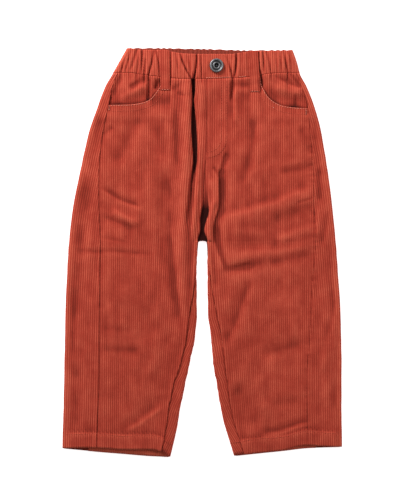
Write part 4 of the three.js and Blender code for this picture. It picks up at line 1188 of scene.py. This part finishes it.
# The near-black painted shadow deep in a fold.
FOLD_SHADOW = linear(48, 12, 9)
INSIDE = linear(158, 70, 55)
INSIDE_SHADE = linear(120, 45, 34)
THREAD = linear(232, 142, 120)
TONAL_THREAD = linear(200, 84, 64)
METAL_BASE = linear(96, 96, 98)
METAL_DULL = linear(112, 112, 114)
METAL_BRIGHT = linear(150, 150, 152)
METAL_PAINTED_SHADE = linear(22, 22, 23)


def corduroy(name):
    """Ribbed cotton. The grain map counts ribs across, so a cosine of it is 1 on a rib and 0 in a
    groove. The colour runs from painted shade in the groove to a painted highlight on the rib, more
    in some places than in others, and is shifted by fuzz, by streaks that follow the ribs, by each
    rib's own shade and by soft patches of nap. The map of painted shading puts painted shade in
    hollows and painted light on crests and on the turned hem's inside, and deep in a fold it blends
    the colour to a near-black painted shadow."""
    nodes = Nodes(name, RIB_SIDE, 0.92, 0.1)
    grain = nodes.add("ShaderNodeUVMap", uv_map="grain").outputs[0]
    place = nodes.add("ShaderNodeTexCoord").outputs["Object"]
    across = nodes.add("ShaderNodeSeparateXYZ")
    nodes.link(grain, across.inputs[0])
    turn = nodes.math("MULTIPLY", across.outputs[0], 2 * np.pi)
    rib = nodes.math("MULTIPLY_ADD", nodes.math("COSINE", turn), 0.5, 0.5)
    number = nodes.add("ShaderNodeTexWhiteNoise", noise_dimensions="1D")
    nodes.link(nodes.math("FLOOR", nodes.math("ADD", across.outputs[0], 0.5)), number.inputs["W"])
    own = nodes.spread(number.outputs["Value"], 0.12)
    streak = nodes.spread(nodes.noise(nodes.stretched(grain, 3.0, 0.16), 1.0, 3), 0.5)
    fuzz = nodes.spread(nodes.noise(place, 1600, 2), 0.5)
    nap = nodes.spread(nodes.noise(place, 16, 2), 0.34)
    patch = nodes.spread(nodes.noise(place, 60, 3), 0.26)
    raised = nodes.math("MULTIPLY_ADD", nodes.noise(place, 85, 2), 0.85, 0.06)
    level = nodes.math("MULTIPLY_ADD", nodes.math("POWER", rib, 2), raised, 0.26)
    # The map of painted shading as a shift of the level: painted shade in hollows, painted light on crests.
    painted_shading = nodes.add("ShaderNodeAttribute", attribute_name="painted_shading").outputs["Fac"]
    hollow = nodes.math("MULTIPLY", nodes.math("MAXIMUM", painted_shading, HEM_INSIDE_PAINTED_LIGHT), -0.35)
    for shift in (own, streak, fuzz, nap, patch, hollow):
        level = nodes.math("ADD", level, shift)
    # The ramp paints shade in the grooves and a highlight on the rib tops.
    colour = nodes.ramp(level, (0.0, RIB_GROOVE_SHADE), (0.5, RIB_SIDE), (1.0, RIB_TOP_HIGHLIGHT))
    # Deep in a fold the colour turns to a near-black painted shadow.
    deep = nodes.math("MULTIPLY_ADD", painted_shading, 0.62, -0.22)
    nodes.link(nodes.blend(deep, colour, FOLD_SHADOW), nodes.shader.inputs["Base Color"])
    fibres = nodes.math("ADD", nodes.noise(place, 2600, 2), nodes.noise(nodes.stretched(grain, 5, 0.8), 1, 2))
    nodes.bump(fibres, 0.35, 0.0003)
    nodes.shader.inputs["Sheen Weight"].default_value = 0.22
    nodes.shader.inputs["Sheen Roughness"].default_value = 0.45
    nodes.shader.inputs["Sheen Tint"].default_value = (1.0, 0.5, 0.4, 1)
    return nodes.material


def cloth_inside():
    """The plain woven back of the cloth: a fine crossing weave, a little browner than the ribs."""
    nodes = Nodes("corduroy_inside", INSIDE, 0.95, 0.08)
    place = nodes.add("ShaderNodeTexCoord").outputs["Object"]
    weave = nodes.noise(nodes.stretched(place, 1800, 700), 1, 2)
    colour = nodes.ramp(weave, (0.3, INSIDE_SHADE), (0.7, INSIDE))
    nodes.link(colour, nodes.shader.inputs["Base Color"])
    nodes.bump(weave, 0.3, 0.0002)
    return nodes.material


def sewing_thread(name, base):
    """Matt cotton thread with a fine twist along it."""
    nodes = Nodes(name, base, 0.8, 0.2)
    place = nodes.add("ShaderNodeTexCoord").outputs["Object"]
    twist = nodes.noise(place, 2200, 1)
    shaded = tuple(0.7 * part for part in base)
    colour = nodes.ramp(twist, (0.3, shaded), (0.6, base))
    nodes.link(colour, nodes.shader.inputs["Base Color"])
    nodes.bump(twist, 0.3, 0.0001)
    return nodes.material


def gunmetal():
    """Dark plated metal, a little uneven in polish and tone, with painted shade where the section says."""
    nodes = Nodes("gunmetal", METAL_BASE, 0.45, 0.5, 0.9)
    place = nodes.add("ShaderNodeTexCoord").outputs["Object"]
    wear = nodes.noise(place, 300, 2)
    worn = nodes.ramp(wear, (0.3, METAL_DULL), (0.7, METAL_BRIGHT))
    # Painted shade in the button's grooves, round its middle and down its rim's side.
    recess_shade = nodes.add("ShaderNodeAttribute", attribute_name="painted_shading").outputs["Fac"]
    nodes.link(nodes.blend(recess_shade, worn, METAL_PAINTED_SHADE), nodes.shader.inputs["Base Color"])
    polish = nodes.math("MULTIPLY_ADD", wear, 0.15, 0.4)
    nodes.link(polish, nodes.shader.inputs["Roughness"])
    nodes.bump(wear, 0.04, 0.0001)
    return nodes.material


CLOTH_MATERIALS = [corduroy("corduroy"), cloth_inside()]
PALE_THREAD = [sewing_thread("pale_thread", THREAD)]
MATCHING_THREAD = [sewing_thread("matching_thread", TONAL_THREAD)]
METAL = [gunmetal()]

# The cloth pieces and the button, each under the name of the solid that it replaces.
right, left = LEGS
pieces = {}
for leg in LEGS:
    pieces[leg.name + "_front"] = front_panel(leg, CLOTH_MATERIALS)
    pieces[leg.name + "_side"] = side_panel(leg, CLOTH_MATERIALS)
    pieces[leg.name + "_back"] = back_panel(leg, CLOTH_MATERIALS)
    pieces[leg.name + "_pocket_facing"] = pocket_facing(leg, CLOTH_MATERIALS)
pieces["waistband_front"] = band_piece("waistband_front_cloth", True, CLOTH_MATERIALS)
pieces["waistband_back"] = band_piece("waistband_back_cloth", False, CLOTH_MATERIALS)
LOOP_SIZES = [dict(zip(LOOPS, row)) for row in zip(*LOOPS.values())]
for leg, sizes in zip(LEGS, LOOP_SIZES):
    pieces[leg.name + "_belt_loop"] = belt_loop(leg, sizes, CLOTH_MATERIALS)

button_place = (BUTTON_X, BUTTON_Y, band_height(0.5) + SEAM_GAP)
pieces["button"] = lathe("button_metal", BUTTON_SECTION, BUTTON_SIDES, button_place, METAL)

for node, piece in pieces.items():
    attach(piece, "root")
    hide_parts(node)


def band_line(low, high, above):
    """Points along the band's lower edge, a little above its seam."""
    x = np.linspace(low, high, int((high - low) * 2))
    part = above / (front_top(x) - waist_seam(x))
    return np.stack([x, waist_seam(x) + above, band_height(part) + gather_depth(x, part)], -1)


def loop_foot_line(leg, sizes):
    """Stitching across the foot of a belt loop."""
    x = np.linspace(sizes["foot_left"] + 0.7, sizes["foot_right"] - 0.7, 24)
    y = np.full_like(x, sizes["foot"] + 0.9)
    return np.stack([x, y, loop_base(leg, x, y) + 0.5], -1)


# Pale stitching shows at the band's seam, the loops and the mouths, and matching stitching elsewhere.
pale_lines = [band_line(4, 37, 1.4), band_line(45, 56, 1.4)]
pale_lines += [loop_foot_line(leg, sizes) for leg, sizes in zip(LEGS, LOOP_SIZES)]
matching_lines = [fly_line(0), fly_line(6.5)]
for leg in LEGS:
    pale_lines += [mouth_line(leg, 0.9)]
    matching_lines += [mouth_line(leg, 7.6), hem_line(leg)]
pale = stitches("pale_stitches", pale_lines, PALE_THREAD, PALE_RADIUS)
matching = stitches("matching_stitches", matching_lines, MATCHING_THREAD, MATCHING_RADIUS)
for piece in (pale, matching):
    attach(piece, "root")

tack_lines = []
for x, y, length, angle in zip(*TACKS.values()):
    leg = left if x > 0 else right
    height = float(top_height(leg, np.array(abs(x)), np.array(y)))
    tack_lines.append(bar_tack((x, y), length, angle, height + 0.25))
bar_tacks = thread_tube("bar_tacks", tack_lines, TACK_RADIUS, PALE_THREAD)
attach(bar_tacks, "root")


def add_floor():
    """A wide pale floor, whose top lies a fifth of a millimetre below the cloth."""
    mesh = bpy.data.meshes.new("floor")
    half, foot, top = 3.0, -0.02, -0.0002
    square = ((-half, -half), (half, -half), (half, half), (-half, half))
    corners = [(x, y, z) for z in (foot, top) for x, y in square]
    faces = [(0, 3, 2, 1), (4, 5, 6, 7), (0, 1, 5, 4), (1, 2, 6, 5), (2, 3, 7, 6), (3, 0, 4, 7)]
    mesh.from_pydata(corners, [], faces)
    floor = bpy.data.objects.new("floor", mesh)
    bpy.context.scene.collection.objects.link(floor)
    nodes = Nodes("floor", (0.92, 0.92, 0.92), 0.85, 0.1)
    nodes.shader.inputs["Emission Color"].default_value = (1, 1, 1, 1)
    nodes.shader.inputs["Emission Strength"].default_value = 0.8
    mesh.materials.append(nodes.material)


def add_light(name, place, size, power):
    """A soft square light that faces the middle of the garment."""
    light = bpy.data.lights.new(name, "AREA")
    light.shape = "SQUARE"
    light.size = size
    light.energy = power
    holder = bpy.data.objects.new(name, light)
    holder.location = place
    holder.rotation_euler = (-holder.location).to_track_quat("-Z", "Y").to_euler()
    bpy.context.scene.collection.objects.link(holder)


def add_camera():
    """Straight above, at the distance where the lens frames the picture's height, measured from the
    cloth's middle height. The picture's centre lies 7 mm out on the garment's left side and 4 mm above."""
    lens, sensor, framed, cloth_height = 85, 36, 0.62375, 0.006
    camera = bpy.data.cameras.new("camera")
    camera.lens = lens
    camera.sensor_width = sensor
    camera.clip_start = 0.05
    holder = bpy.data.objects.new("camera", camera)
    holder.location = (0.0069, 0.0038, framed * lens / sensor + cloth_height)
    bpy.context.scene.collection.objects.link(holder)
    bpy.context.scene.camera = holder


# A raking key light from the upper left of the picture, a weak fill and an even pale world.
add_floor()
add_light("key", (-1.05, 1.25, 0.85), 0.5, 36)
add_light("fill", (1.3, 0.6, 1.1), 0.9, 12)
world = bpy.data.worlds.new("studio")
world.use_nodes = True
world.node_tree.nodes["Background"].inputs["Color"].default_value = (1, 1, 1, 1)
world.node_tree.nodes["Background"].inputs["Strength"].default_value = 0.24
bpy.context.scene.world = world
bpy.context.scene.view_settings.view_transform = "Standard"
add_camera()
